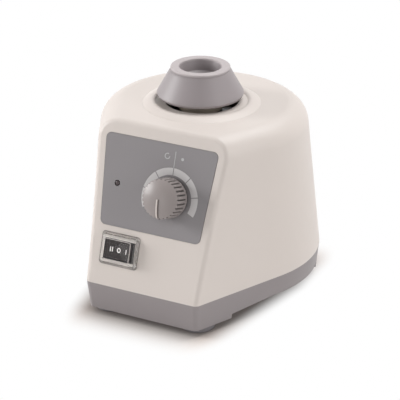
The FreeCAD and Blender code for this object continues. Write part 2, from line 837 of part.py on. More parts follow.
def label_blank(grow, bottom, top):
    """Trapezoid of the control label with rounded corners, widened all round by a clearance."""
    low = label_bottom - grow
    high = label_top + grow
    half_low = panel_half_width(label_bottom) - label_side_margin + grow
    half_high = panel_half_width(label_top) - label_side_margin + grow
    corners = [V(-half_low, low, bottom), V(half_low, low, bottom),
               V(half_high, high, bottom), V(-half_high, high, bottom)]
    blank = Part.Face(Part.makePolygon(corners + corners[:1])).extrude(V(0, 0, top - bottom))
    return blank.makeFillet(label_corner_radius + grow, upright_edges(blank))


def control_label():
    """Printed panel overlay in its recess, with holes for the lamp and the knob's bushing."""
    top = label_thickness - label_recess
    label = label_blank(0, -label_recess, top)
    label = label.cut(cylinder(pot_bushing_radius + seat_clearance, -label_recess, top, knob_x, knob_slope))
    label = label.cut(cylinder(lamp_radius + seat_clearance, -label_recess, top, lamp_x, lamp_slope))
    return on_panel(label)


def indicator_lamp():
    """Light pipe from the control board to the panel, with a domed tip."""
    pipe = cylinder(lamp_radius, board_outer, lamp_proud, lamp_x, lamp_slope)
    tip = [edge for edge in pipe.Edges if abs(edge.BoundBox.ZMin - lamp_proud) < tolerance]
    return on_panel(pipe.makeFillet(lamp_tip_radius, tip))


def pot_body():
    """Potentiometer: a round case on the board and a bushing through the panel."""
    case = cylinder(pot_radius, board_outer, -housing_wall, knob_x, knob_slope)
    case = case.fuse(cylinder(pot_bushing_radius, -housing_wall, pot_bushing_length, knob_x, knob_slope))
    bore = pot_shaft_radius + running_clearance
    case = case.cut(cylinder(bore, pot_shaft_back - free_gap, pot_bushing_length, knob_x, knob_slope))
    return on_panel(case.removeSplitter())


def pot_nut():
    """Hexagon nut that clamps the potentiometer to the panel."""
    top = label_thickness - label_recess
    reach = pot_nut_flats / 2 / math.cos(math.pi / 6)
    corners = [V(knob_x + reach * math.cos(math.radians(60 * step)),
                 knob_slope + reach * math.sin(math.radians(60 * step)), top) for step in range(7)]
    nut = Part.Face(Part.makePolygon(corners)).extrude(V(0, 0, pot_nut_thickness))
    return on_panel(nut.cut(cylinder(pot_bushing_radius, top, top + pot_nut_thickness, knob_x, knob_slope)))


def pot_shaft():
    """Shaft that the knob turns."""
    return on_panel(cylinder(pot_shaft_radius, pot_shaft_back, pot_shaft_front, knob_x, knob_slope))


def speed_knob():
    """Tapered knob with a plain skirt, fluted sides, a domed face and a pointer groove."""
    skirt_top = knob_bottom + knob_skirt_height
    shoulder = knob_top - knob_dome_rise
    dome_radius = (knob_face_radius ** 2 + knob_dome_rise ** 2) / (2 * knob_dome_rise)
    middle = knob_face_radius / 2
    middle_z = knob_top - dome_radius + math.sqrt(dome_radius ** 2 - middle ** 2)
    skin = revolved(
        (0, knob_bottom),
        (knob_base_radius, knob_bottom),
        (knob_base_radius, skirt_top),
        (knob_face_radius, shoulder),
        ((middle, middle_z), (0, knob_top)),
    )
    rim = [edge for edge in skin.Edges if abs(edge.CenterOfMass.z - shoulder) < tolerance]
    skin = skin.makeFillet(knob_edge_radius, rim)
    inner_top = knob_top - knob_cap_thickness
    hollow = cylinder(knob_base_radius - knob_wall, knob_bottom, skirt_top)
    taper = Part.makeCone(knob_base_radius - knob_wall, knob_face_radius - knob_wall,
                          inner_top - skirt_top, V(0, 0, skirt_top))
    knob = skin.cut(hollow).cut(taper)
    knob = knob.fuse(cylinder(knob_boss_radius, pot_bushing_length + free_gap, inner_top))
    knob = knob.cut(cylinder(pot_shaft_radius, knob_bottom, pot_shaft_front))
    slope = (knob_base_radius - knob_face_radius) / (shoulder - skirt_top)
    root = V(knob_base_radius + knob_flute_offset, 0, skirt_top)
    for index in range(knob_flute_count):
        flute = Part.makeCylinder(knob_flute_radius, knob_top - skirt_top, root, V(-slope, 0, 1))
        flute.rotate(V(0, 0, 0), V(0, 0, 1), index * 360 / knob_flute_count)
        knob = knob.cut(flute)
    strip = block(-knob_pointer_width / 2, knob_pointer_width / 2, -knob_base_radius, 0,
                  shoulder - knob_pointer_drop, knob_top)
    groove = strip.common(skin.cut(moved(skin, 0, 0, -knob_pointer_depth)))
    return on_panel(moved(knob.cut(groove).removeSplitter(), knob_x, knob_slope))


def switch_body():
    """Rocker switch: a bezel on the panel, a box behind it and a well for the rocker."""
    body = rounded_block(switch_bezel_width, switch_bezel_height, 0, switch_bezel_thickness,
                         cover_corner_radius - cover_wall)
    body = body.fuse(block(-switch_box_width / 2, switch_box_width / 2, -switch_box_height / 2,
                           switch_box_height / 2, -switch_box_depth, 0))
    well_width = rocker_width / 2 + rocker_well_gap
    well_height = rocker_height / 2 + rocker_well_gap
    body = body.cut(block(-well_width, well_width, -well_height, well_height,
                          -rocker_well_depth, switch_bezel_thickness))
    pin = Part.makeCylinder(rocker_pin_radius + running_clearance, 2 * (well_height + rocker_pin_length),
                            V(0, -well_height - rocker_pin_length, -rocker_pivot_depth), V(0, 1, 0))
    return on_panel(moved(body.cut(pin).removeSplitter(), switch_x, switch_slope))


def switch_rocker():
    """Rocker with a dished top, a round hub below and a pivot pin on each side."""
    half = rocker_width / 2
    face = outline(
        (-half, rocker_end_rise - rocker_end_thickness),
        (-half, rocker_end_rise),
        ((0, rocker_middle_rise), (half, rocker_end_rise)),
        (half, rocker_end_rise - rocker_end_thickness),
        (rocker_hub_radius, -rocker_pivot_depth),
        ((0, -rocker_pivot_depth - rocker_hub_radius), (-rocker_hub_radius, -rocker_pivot_depth)),
    )
    rocker = Part.Face(face).extrude(V(0, rocker_height, 0))
    rocker.translate(V(0, -rocker_height / 2, 0))
    reach = rocker_height / 2 + rocker_well_gap + rocker_pin_length - free_gap
    pin = Part.makeCylinder(rocker_pin_radius, 2 * reach, V(0, -reach, -rocker_pivot_depth), V(0, 1, 0))
    return on_panel(moved(rocker.fuse(pin).removeSplitter(), switch_x, switch_slope))


def switch_terminal(index):
    """One blade terminal at the back of the switch."""
    x = switch_x + (index - 1) * terminal_pitch
    blade = block(x - terminal_thickness / 2, x + terminal_thickness / 2, switch_slope - terminal_width / 2,
                  switch_slope + terminal_width / 2, -switch_box_depth - terminal_length, -switch_box_depth)
    return on_panel(blade)


def switch_cover():
    """Clear splash cover: a flange on the panel and a thin dome over bezel and rocker."""
    inner_width = switch_bezel_width + 2 * seat_clearance
    inner_height = switch_bezel_height + 2 * seat_clearance
    flange = rounded_block(cover_width, cover_height, 0, cover_flange_thickness, cover_corner_radius)
    dome = rounded_block(inner_width + 2 * cover_wall, inner_height + 2 * cover_wall, 0, cover_rise,
                         cover_corner_radius)
    roof = [edge for edge in dome.Edges if abs(edge.BoundBox.ZMin - cover_rise) < tolerance]
    cover = flange.fuse(dome.makeFillet(cover_edge_radius, roof))
    cover = cover.cut(rounded_block(inner_width, inner_height, 0, cover_rise - cover_wall,
                                    cover_corner_radius - cover_wall))
    return on_panel(moved(cover.removeSplitter(), switch_x, switch_slope))


def control_board():
    """Circuit board behind the panel, seated on the back of the potentiometer."""
    low = knob_slope - board_height / 2
    right = knob_x + pot_radius + component_margin * 2
    return on_panel(block(right - board_width, right, low, low + board_height, board_inner, board_outer))


def board_components():
    """Capacitor, choke, triac and connector on the back of the board."""
    right = knob_x + pot_radius + component_margin
    left = right - board_width + 3 * component_margin
    low = knob_slope - board_height / 2 + component_margin
    high = low + board_height - 2 * component_margin

    def box(x, y, size):
        return block(x, x + size[0], y, y + size[1], board_inner - size[2], board_inner)

    pieces = [
        box(left, low, capacitor_size),
        box(left, high - connector_size[1], connector_size),
        box(right - triac_size[0], low, triac_size),
        cylinder(choke_radius, board_inner - choke_height, board_inner,
                 right - choke_radius, high - choke_radius),
    ]
    return Part.makeCompound([on_panel(piece) for piece in pieces])


def inlet_outline(width, height, chamfer):
    """Outline of the mains socket, with its two lower corners cut off, in the rear plane."""
    half_w = width / 2
    half_h = height / 2
    corners = [
        V(-half_w, 0, half_h),
        V(half_w, 0, half_h),
        V(half_w, 0, chamfer - half_h),
        V(half_w - chamfer, 0, -half_h),
        V(chamfer - half_w, 0, -half_h),
        V(-half_w, 0, chamfer - half_h),
    ]
    return Part.Face(Part.makePolygon(corners + corners[:1]))


def mains_inlet():
    """Mains inlet: a flange in the rear pocket, a body through the wall and the socket."""
    face = inlet_face_y
    half_w = inlet_flange_width / 2
    half_h = inlet_flange_height / 2
    inlet = block(-half_w, half_w, face, face + inlet_flange_thickness,
                  inlet_height - half_h, inlet_height + half_h)
    half_w = inlet_body_width / 2
    half_h = inlet_body_height / 2
    inlet = inlet.fuse(block(-half_w, half_w, face - inlet_body_depth, face,
                             inlet_height - half_h, inlet_height + half_h))
    socket = inlet_outline(inlet_socket_width, inlet_socket_height, inlet_socket_chamfer)
    socket = socket.extrude(V(0, -inlet_socket_depth, 0))
    socket.translate(V(0, face + inlet_flange_thickness, inlet_height))
    inlet = inlet.cut(socket)
    for x, z in inlet_pin_places:
        inlet = inlet.cut(inlet_pin(x, z, 0, 0))
    return inlet.removeSplitter()


def inlet_pin(x, z, forward, tail):
    """Flat contact pin, from inside the socket through its back wall to a solder tail."""
    floor = inlet_face_y + inlet_flange_thickness - inlet_socket_depth
    back = inlet_face_y - inlet_body_depth
    return block(x - inlet_pin_width / 2, x + inlet_pin_width / 2, back - tail, floor + forward,
                 inlet_height + z - inlet_pin_height / 2, inlet_height + z + inlet_pin_height / 2)


def press_switch_body():
    """Small switch on the ballast, below a tab of the motor plate."""
    half_w = press_switch_width / 2
    half_l = press_switch_length / 2
    body = block(press_switch_x - half_w, press_switch_x + half_w, -half_l, half_l,
                 ballast_top, press_switch_top)
    ear_back = lever_pivot_y + lever_ear_reach
    ear_front = lever_pivot_y - lever_ear_reach
    ears = block(press_switch_x - half_w, press_switch_x + half_w, ear_front, ear_back,
                 ballast_top, lever_pivot_z + 2 * lever_pin_radius)
    slot = block(press_switch_x - lever_width / 2 - free_gap, press_switch_x + lever_width / 2 + free_gap,
                 ear_front - cut_over, ear_back + cut_over, press_switch_top, plate_bottom)
    bore = Part.makeCylinder(lever_pin_radius + running_clearance, press_switch_width,
                             V(press_switch_x - half_w, lever_pivot_y, lever_pivot_z), V(1, 0, 0))
    return body.fuse(ears.cut(slot)).cut(bore).removeSplitter()


def press_switch_lever():
    """Lever of the press switch, held just below the tab."""
    left = press_switch_x - lever_width / 2
    half_t = lever_thickness / 2
    side = Part.makePolygon([
        V(left, lever_pivot_y, lever_pivot_z - half_t),
        V(left, lever_pivot_y, lever_pivot_z + half_t),
        V(left, lever_tip_y, lever_tip_z + half_t),
        V(left, lever_tip_y, lever_tip_z - half_t),
        V(left, lever_pivot_y, lever_pivot_z - half_t),
    ])
    across = V(1, 0, 0)
    blade = Part.Face(side).extrude(across * lever_width)
    tip = Part.makeCylinder(lever_tip_radius, lever_width, V(left, lever_tip_y, lever_tip_z), across)
    pin_end = V(press_switch_x - press_switch_width / 2, lever_pivot_y, lever_pivot_z)
    pin = Part.makeCylinder(lever_pin_radius, press_switch_width, pin_end, across)
    return blade.fuse(tip).fuse(pin).removeSplitter()


def group(maker, places):
    """Several separate solids of the same kind in one node."""
    return Part.makeCompound([maker(*place) for place in places])


def build():
    """Every piece of the mixer by its name."""
    foot_points = [(x, y) for name, x, y in foot_places]
    inlet_pin_ends = (inlet_pin_length, inlet_tail_length)
    pieces = {
        "upper_housing": upper_housing(),
        "base_tray": base_tray(),
        "base_screws": group(base_screw, foot_points),
        "ballast_plate": ballast_plate(),
        "guide_posts": group(guide_post, post_places),
        "vibration_dampers": group(damper, post_places),
        "motor_plate": motor_plate(),
        "lower_bracket": motor_bracket(plate_top, plate_top + bracket_thickness, plate_top,
                                       plate_top + bracket_thickness + bracket_boss_height),
        "upper_bracket": motor_bracket(upper_bracket_bottom, stack_top, upper_bracket_bottom, upper_boss_top),
        "lower_bush": bush(plate_top, plate_top + bracket_thickness + bracket_boss_height),
        "upper_bush": bush(upper_bracket_bottom, upper_boss_top),
        "stator_stack": stator_stack(),
        "stator_coils": group(stator_coil, ((stack_bottom, -1), (stack_top, 1))),
        "motor_bolts": group(motor_bolt, bolt_places),
        "rotor_core": rotor_core(),
        "motor_shaft": cylinder(shaft_radius, shaft_bottom, shaft_top),
        "eccentric_hub": eccentric_hub(),
        "clamp_screw": clamp_screw(clamp_screw_length),
        "bearing_screw": bearing_screw(),
        "bearing_inner_race": bearing_race(bearing_bore_radius, bearing_bore_radius + bearing_race_thickness),
        "bearing_outer_race": bearing_race(bearing_radius - bearing_race_thickness, bearing_radius),
        "bearing_balls": group(bearing_ball, [(index,) for index in range(ball_count)]),
        "head_hub": head_hub(),
        "cup": cup(),
        "control_label": control_label(),
        "indicator_lamp": indicator_lamp(),
        "pot_body": pot_body(),
        "pot_nut": pot_nut(),
        "pot_shaft": pot_shaft(),
        "speed_knob": speed_knob(),
        "switch_body": switch_body(),
        "switch_rocker": switch_rocker(),
        "switch_terminals": group(switch_terminal, [(index,) for index in range(3)]),
        "switch_cover": switch_cover(),
        "control_board": control_board(),
        "board_components": board_components(),
        "mains_inlet": mains_inlet(),
        "inlet_pins": group(inlet_pin, [place + inlet_pin_ends for place in inlet_pin_places]),
        "press_switch_body": press_switch_body(),
        "press_switch_lever": press_switch_lever(),
    }
    for name, x, y in foot_places:
        pieces[name + "_foot"] = foot(x, y)
    return pieces


os.makedirs("parts", exist_ok=True)
for node, shape in build().items():
    shape.exportStep("parts/" + node + ".step")
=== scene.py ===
import logging
import math
from dataclasses import dataclass, field
from enum import Enum
from typing import Any, Callable, Dict, List, Sequence, Tuple

import bmesh
import bpy
from mathutils import Matrix, Vector


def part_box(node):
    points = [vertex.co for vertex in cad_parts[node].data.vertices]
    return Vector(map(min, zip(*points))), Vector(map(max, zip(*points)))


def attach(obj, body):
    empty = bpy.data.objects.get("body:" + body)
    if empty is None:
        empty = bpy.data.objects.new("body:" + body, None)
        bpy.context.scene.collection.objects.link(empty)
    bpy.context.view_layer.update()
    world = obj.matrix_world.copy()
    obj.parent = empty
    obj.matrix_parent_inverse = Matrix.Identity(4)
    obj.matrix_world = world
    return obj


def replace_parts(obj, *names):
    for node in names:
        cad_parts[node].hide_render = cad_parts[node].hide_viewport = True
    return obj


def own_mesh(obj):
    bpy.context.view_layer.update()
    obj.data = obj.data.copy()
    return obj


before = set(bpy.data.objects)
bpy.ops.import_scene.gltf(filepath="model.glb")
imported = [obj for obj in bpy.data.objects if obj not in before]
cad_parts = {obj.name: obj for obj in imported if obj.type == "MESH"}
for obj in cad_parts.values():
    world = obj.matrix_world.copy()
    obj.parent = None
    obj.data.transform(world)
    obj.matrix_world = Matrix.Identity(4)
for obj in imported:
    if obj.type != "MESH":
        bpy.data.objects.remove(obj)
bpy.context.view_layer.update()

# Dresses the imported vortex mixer: finishes, printed scale, knob, switch cover and marks, screws and studio.
# Lengths are in metres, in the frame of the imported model: +Z is up and the panel faces -Y.

MM: float = 0.001
IMAGE_SIZE: int = 400
NODE_WELD: float = 2e-6
FORM_WELD: float = 1e-7
LEAST_AREA: float = 1e-12
log: logging.Logger = logging.getLogger("vortex_mixer")

Colour = Tuple[float, float, float]
Point2 = Tuple[float, float]
Point3 = Tuple[float, float, float]
Work = bmesh.types.BMesh
Socket = bpy.types.NodeSocket
WHITE: Colour = (1.0, 1.0, 1.0)


def shade(red: int, green: int, blue: int) -> Colour:
    """Turns a matched screen colour into the linear colour that a shader takes.

    Args:
        red: red level from 0 to 255.
        green: green level from 0 to 255.
        blue: blue level from 0 to 255.

    Returns:
        The linear colour.
    """
    levels = []
    for value in (red, green, blue):
        level = value / 255
        levels.append(level / 12.92 if level <= 0.04045 else ((level + 0.055) / 1.055) ** 2.4)
    return levels[0], levels[1], levels[2]


class FinishKind(Enum):
    """Families of surface that share the shader's constants."""

    MOULDED = "moulded plastic"
    RUBBER = "moulded rubber"
    PRINTED = "printed film"
    METAL = "bare metal"
    CLEAR = "clear plastic"
    FROSTED = "thick clear plastic that scatters light"


KIND_VALUES: Dict[FinishKind, Dict[str, float]] = {
    FinishKind.MOULDED: {"Specular IOR Level": 0.45},
    FinishKind.RUBBER: {"Specular IOR Level": 0.6, "Sheen Weight": 0.1},
    FinishKind.PRINTED: {"Specular IOR Level": 0.4},
    FinishKind.METAL: {"Metallic": 1.0},
    FinishKind.CLEAR: {"Transmission Weight": 1.0, "IOR": 1.3},
    FinishKind.FROSTED: {"Transmission Weight": 0.85, "IOR": 1.42},
}


@dataclass(frozen=True)
class Finish:
    """One surface finish: its colours, gloss, grain, tone drift, edge wear with painted edge light, dust, and
    painted shade in hollows.

    A painted highlight on a rim: over a span of heights the top edge turns to the edge colour, as if lit. The
    name sets a finish apart from the main finish of its slot.
    """

    slot: str
    kind: FinishKind
    colour: Colour
    worn_and_painted_edge_colour: Colour
    roughness: float = 0.45
    spread: float = 0.06
    grain_scale: float = 2200.0
    grain_depth: float = 0.12
    drift: float = 0.03
    # Edge mask amount and reach: partly real wear, partly painted light along edges.
    wear_and_painted_edge: float = 0.35
    wear_and_painted_edge_radius: float = 0.6 * MM
    dust: float = 0.05
    # Painted shade: how strongly ambient occlusion darkens grooves, corners and places under other parts, and
    # how far it looks.
    painted_shade: float = 0.6
    painted_shade_reach: float = 1.6 * MM
    stretch: Point3 = (1.0, 1.0, 1.0)
    # Span of heights of a painted highlight on a rim.
    painted_rim_highlight: Point2 | None = None
    specular: float | None = None
    name: str = ""


DUST_COLOUR: Colour = shade(196, 190, 182)
# Colour of the painted shade in hollows and under other parts.
PAINTED_SHADE_COLOUR: Colour = shade(62, 56, 54)

FINISHES: Tuple[Finish, ...] = (
    Finish("housing_plastic", FinishKind.MOULDED, shade(220, 211, 205), shade(234, 228, 223),
           roughness=0.42, grain_scale=2600.0, grain_depth=0.10, drift=0.012, wear_and_painted_edge=0.25, dust=0.02),
    Finish("base_plastic", FinishKind.MOULDED, shade(148, 141, 142), shade(170, 164, 164),
           roughness=0.46, grain_scale=2400.0, grain_depth=0.14, drift=0.025),
    # The label's painted shade reaches far, so it paints the knob's shadow on the label round the knob.
    Finish("label_film", FinishKind.PRINTED, shade(142, 138, 140), shade(160, 157, 158),
           roughness=0.40, spread=0.04, grain_scale=5200.0, grain_depth=0.05, drift=0.015, wear_and_painted_edge=0.2,
           dust=0.03, painted_shade=0.7, painted_shade_reach=7.0 * MM),
    # The cup's rim top carries a painted highlight, and its long reach of painted shade darkens the bowl.
    Finish("cup_rubber", FinishKind.RUBBER, shade(152, 144, 146), shade(184, 175, 176),
           roughness=0.48, grain_scale=1500.0, grain_depth=0.16, painted_shade=0.5, painted_shade_reach=9.0 * MM,
           painted_rim_highlight=(128.6 * MM, 129.6 * MM)),
    # Strong painted shade darkens the knob's flutes.
    Finish("knob_plastic", FinishKind.RUBBER, shade(146, 137, 135), shade(174, 166, 163),
           roughness=0.40, grain_scale=2600.0, grain_depth=0.10, drift=0.02, painted_shade=1.5),
    Finish("rocker_plastic", FinishKind.MOULDED, shade(30, 17, 18), shade(66, 54, 54),
           roughness=0.42, grain_scale=2600.0, specular=0.15),
    Finish("black_plastic", FinishKind.MOULDED, shade(46, 44, 45), shade(82, 79, 79),
           roughness=0.5, grain_scale=2000.0, grain_depth=0.18),
    Finish("clear_cover", FinishKind.CLEAR, shade(254, 253, 252), shade(255, 255, 255),
           roughness=0.06, spread=0.04, grain_scale=260.0, grain_depth=0.04, drift=0.0, wear_and_painted_edge=0.0,
           dust=0.0, painted_shade=0.0),
    Finish("lamp_lens", FinishKind.MOULDED, shade(72, 60, 62), shade(104, 90, 90),
           roughness=0.18, grain_scale=900.0, grain_depth=0.03, dust=0.02),
    Finish("foot_rubber", FinishKind.RUBBER, shade(122, 118, 121), shade(142, 139, 140),
           roughness=0.7, grain_scale=1300.0, grain_depth=0.2, dust=0.08),
    Finish("black_rubber", FinishKind.RUBBER, shade(48, 47, 48), shade(78, 76, 76),
           roughness=0.75, grain_scale=1300.0, grain_depth=0.2),
    Finish("steel", FinishKind.METAL, shade(196, 197, 200), shade(222, 223, 225),
           roughness=0.32, spread=0.08, grain_scale=900.0, grain_depth=0.1, stretch=(1.0, 1.0, 14.0)),
    Finish("iron", FinishKind.METAL, shade(104, 104, 106), shade(146, 146, 148),
           roughness=0.62, spread=0.1, grain_scale=700.0, grain_depth=0.4),
    Finish("bracket_alloy", FinishKind.METAL, shade(205, 206, 209), shade(228, 229, 231),
           roughness=0.48, spread=0.08, grain_scale=1200.0, grain_depth=0.25),
    Finish("winding", FinishKind.METAL, shade(186, 110, 66), shade(214, 146, 102),
           roughness=0.34, spread=0.08, grain_scale=1100.0, grain_depth=0.5, stretch=(1.0, 1.0, 0.2)),
    Finish("brass", FinishKind.METAL, shade(208, 176, 104), shade(230, 206, 146),
           roughness=0.3, spread=0.08, grain_scale=900.0, grain_depth=0.1, stretch=(1.0, 14.0, 1.0)),
    Finish("board_laminate", FinishKind.MOULDED, shade(54, 112, 74), shade(104, 150, 116),
           roughness=0.38, grain_scale=1800.0, drift=0.06),
)
BY_SLOT: Dict[str, Finish] = {finish.slot: finish for finish in FINISHES}

# The scale's painted shade reaches far, so it paints the knob's shadow on the printed scale.
SCALE_INK = Finish(
    "label_film", FinishKind.PRINTED, shade(206, 203, 203), shade(212, 209, 209), name="scale_ink",
    roughness=0.42, grain_scale=5200.0, grain_depth=0.05, drift=0.02, wear_and_painted_edge=0.1, dust=0.02, painted_shade=0.5,
    painted_shade_reach=7.0 * MM)
MARK_INK = Finish(
    "label_film", FinishKind.PRINTED, shade(188, 188, 189), shade(200, 200, 200), name="mark_ink",
    roughness=0.42, grain_scale=5200.0, grain_depth=0.05, drift=0.02, wear_and_painted_edge=0.1, dust=0.02)
POINTER_INK = Finish(
    "knob_plastic", FinishKind.PRINTED, shade(216, 206, 201), shade(226, 218, 213), name="pointer_ink",
    roughness=0.4, grain_scale=3600.0, grain_depth=0.06, wear_and_painted_edge=0.1, dust=0.0)
# Dark strip beside the knob's pointer, a painted shadow of the raised line.
POINTER_SHADOW = Finish(
    "knob_plastic", FinishKind.PRINTED, shade(98, 88, 85), shade(118, 108, 104), name="pointer_edge",
    roughness=0.5, grain_scale=3600.0, grain_depth=0.06, wear_and_painted_edge=0.1, dust=0.0)
SWITCH_INK = Finish(
    "rocker_plastic", FinishKind.PRINTED, shade(246, 244, 242), shade(250, 249, 248), name="switch_ink",
    roughness=0.4, grain_scale=3600.0, grain_depth=0.06, wear_and_painted_edge=0.1, dust=0.0)
# Pale flange of the cover, with dark lines painted along its edges by the edge mask, where clear plastic
# would show dark refraction.
COVER_RIM = Finish(
    "clear_cover", FinishKind.FROSTED, shade(252, 248, 244), shade(74, 64, 60), name="cover_rim",
    roughness=0.08, grain_scale=260.0, grain_depth=0.05, drift=0.01, wear_and_painted_edge=2.0, wear_and_painted_edge_radius=0.45 * MM,
    dust=0.0, painted_shade=0.0)
# Opaque pale band on the cover's top edge, a painted highlight in place of the clear edge's glint.
COVER_HIGHLIGHT = Finish(
    "clear_cover", FinishKind.MOULDED, shade(196, 188, 184), shade(226, 221, 218), name="cover_edge",
    roughness=0.16, spread=0.04, grain_scale=260.0, grain_depth=0.05, drift=0.02, wear_and_painted_edge=0.4, dust=0.0,
    painted_shade=0.0, specular=0.6)
# Dark band round the cover's flange, a painted shadow line where the cover meets the panel.
SHADOW_LINE_RUBBER = Finish(
    "black_rubber", FinishKind.RUBBER, shade(100, 91, 87), shade(118, 110, 106), name="gasket_rubber",
    roughness=0.6, grain_scale=1800.0, grain_depth=0.15)
BEZEL_PLASTIC = Finish(
    "black_plastic", FinishKind.MOULDED, shade(232, 226, 221), shade(240, 236, 232), name="bezel_plastic",
    roughness=0.3, grain_scale=2600.0, grain_depth=0.08, painted_shade=0.4)
# Hub colour lighter than its own, painted light that lifts it out of the shade under the cup.
LIGHTENED_HUB_PLASTIC = Finish(
    "black_plastic", FinishKind.MOULDED, shade(182, 169, 155), shade(196, 184, 172), name="hub_plastic",
    roughness=0.5, grain_scale=2000.0, grain_depth=0.15)


class NodeSheet:
    """Adds nodes and links to one node tree."""

    def __init__(self, tree: bpy.types.NodeTree) -> None:
        """Takes the tree to work on."""
        self.tree = tree

    def add(self, kind: str, settings: Dict[str, Any] | None = None, **inputs: Any) -> bpy.types.Node:
        """Adds a node, sets its options and links or sets its inputs.

        Args:
            kind: the node's type name.
            settings: options of the node itself.
            inputs: values or output sockets for inputs, by name with spaces written as underscores, or by
                position as "at0", "at1".

        Returns:
            The new node.
        """
        node = self.tree.nodes.new(kind)
        for name, value in (settings or {}).items():
            setattr(node, name, value)
        for name, value in inputs.items():
            key = int(name[2:]) if name[:2] == "at" and name[2:].isdigit() else name.replace("_", " ")
            self.feed(node.inputs[key], value)
        return node

    def feed(self, socket: Socket, value: Any) -> None:
        """Links an output to a socket, or sets the socket's value.

        Args:
            socket: the input.
            value: an output socket, or a value; a colour may leave out its alpha.
        """
        if isinstance(value, Socket):
            self.tree.links.new(value, socket)
        elif isinstance(value, tuple) and len(value) == 3 and socket.type == "RGBA":
            socket.default_value = (*value, 1.0)
        else:
            socket.default_value = value

    def math(self, operation: str, *values: Any, clamp: bool = False) -> Socket:
        """Adds a math node.

        Args:
            operation: the node's operation.
            values: values or output sockets, in order.
            clamp: holds the result between 0 and 1.

        Returns:
            The result's socket.
        """
        node = self.add("ShaderNodeMath", {"operation": operation, "use_clamp": clamp})
        for socket, value in zip(node.inputs, values):
            self.feed(socket, value)
        return node.outputs[0]

    def noise(self, place: Socket, scale: Any, detail: float) -> Socket:
        """Adds a noise texture and gives its value."""
        return self.add("ShaderNodeTexNoise", Vector=place, Scale=scale, Detail=detail).outputs[0]

    def mix(self, share: Socket, below: Any, above: Any) -> Socket:
        """Mixes one colour over another by a mask.

        Args:
            share: the mask.
            below: the colour underneath, or its socket.
            above: the colour on top, or its socket.

        Returns:
            The mixed colour's socket.
        """
        mixer = self.add("ShaderNodeMix", {"data_type": "RGBA"}, at0=share, at6=below, at7=above)
        return mixer.outputs[2]

    def close(self, **outputs: Socket) -> bpy.types.NodeTree:
        """Ends a node group with its outputs and gives the group."""
        self.add("NodeGroupOutput", **outputs)
        return self.tree


def clear_sheet(owner: bpy.types.Material | bpy.types.World) -> NodeSheet:
    """Empties the nodes of a material or world and gives the sheet to fill.

    Args:
        owner: the material or world.

    Returns:
        Its empty sheet.
    """
    owner.use_nodes = True
    owner.node_tree.nodes.clear()
    return NodeSheet(owner.node_tree)


def open_group(name: str, kind: str, inputs: Dict[str, str],
               outputs: Dict[str, str]) -> Tuple[NodeSheet, bpy.types.NodeOutputs]:
    """Starts a node group with named sockets.

    Args:
        name: the group's name.
        kind: the tree's type name.
        inputs: short type of each input by name.
        outputs: short type of each output by name.

    Returns:
        The group's sheet, and the sockets that hold its inputs.
    """
    tree = bpy.data.node_groups.new(name, kind)
    for way, sockets in (("INPUT", inputs), ("OUTPUT", outputs)):
        for label, short in sockets.items():
            tree.interface.new_socket(label, in_out=way, socket_type="NodeSocket" + short)
    sheet = NodeSheet(tree)
    return sheet, sheet.add("NodeGroupInput").outputs


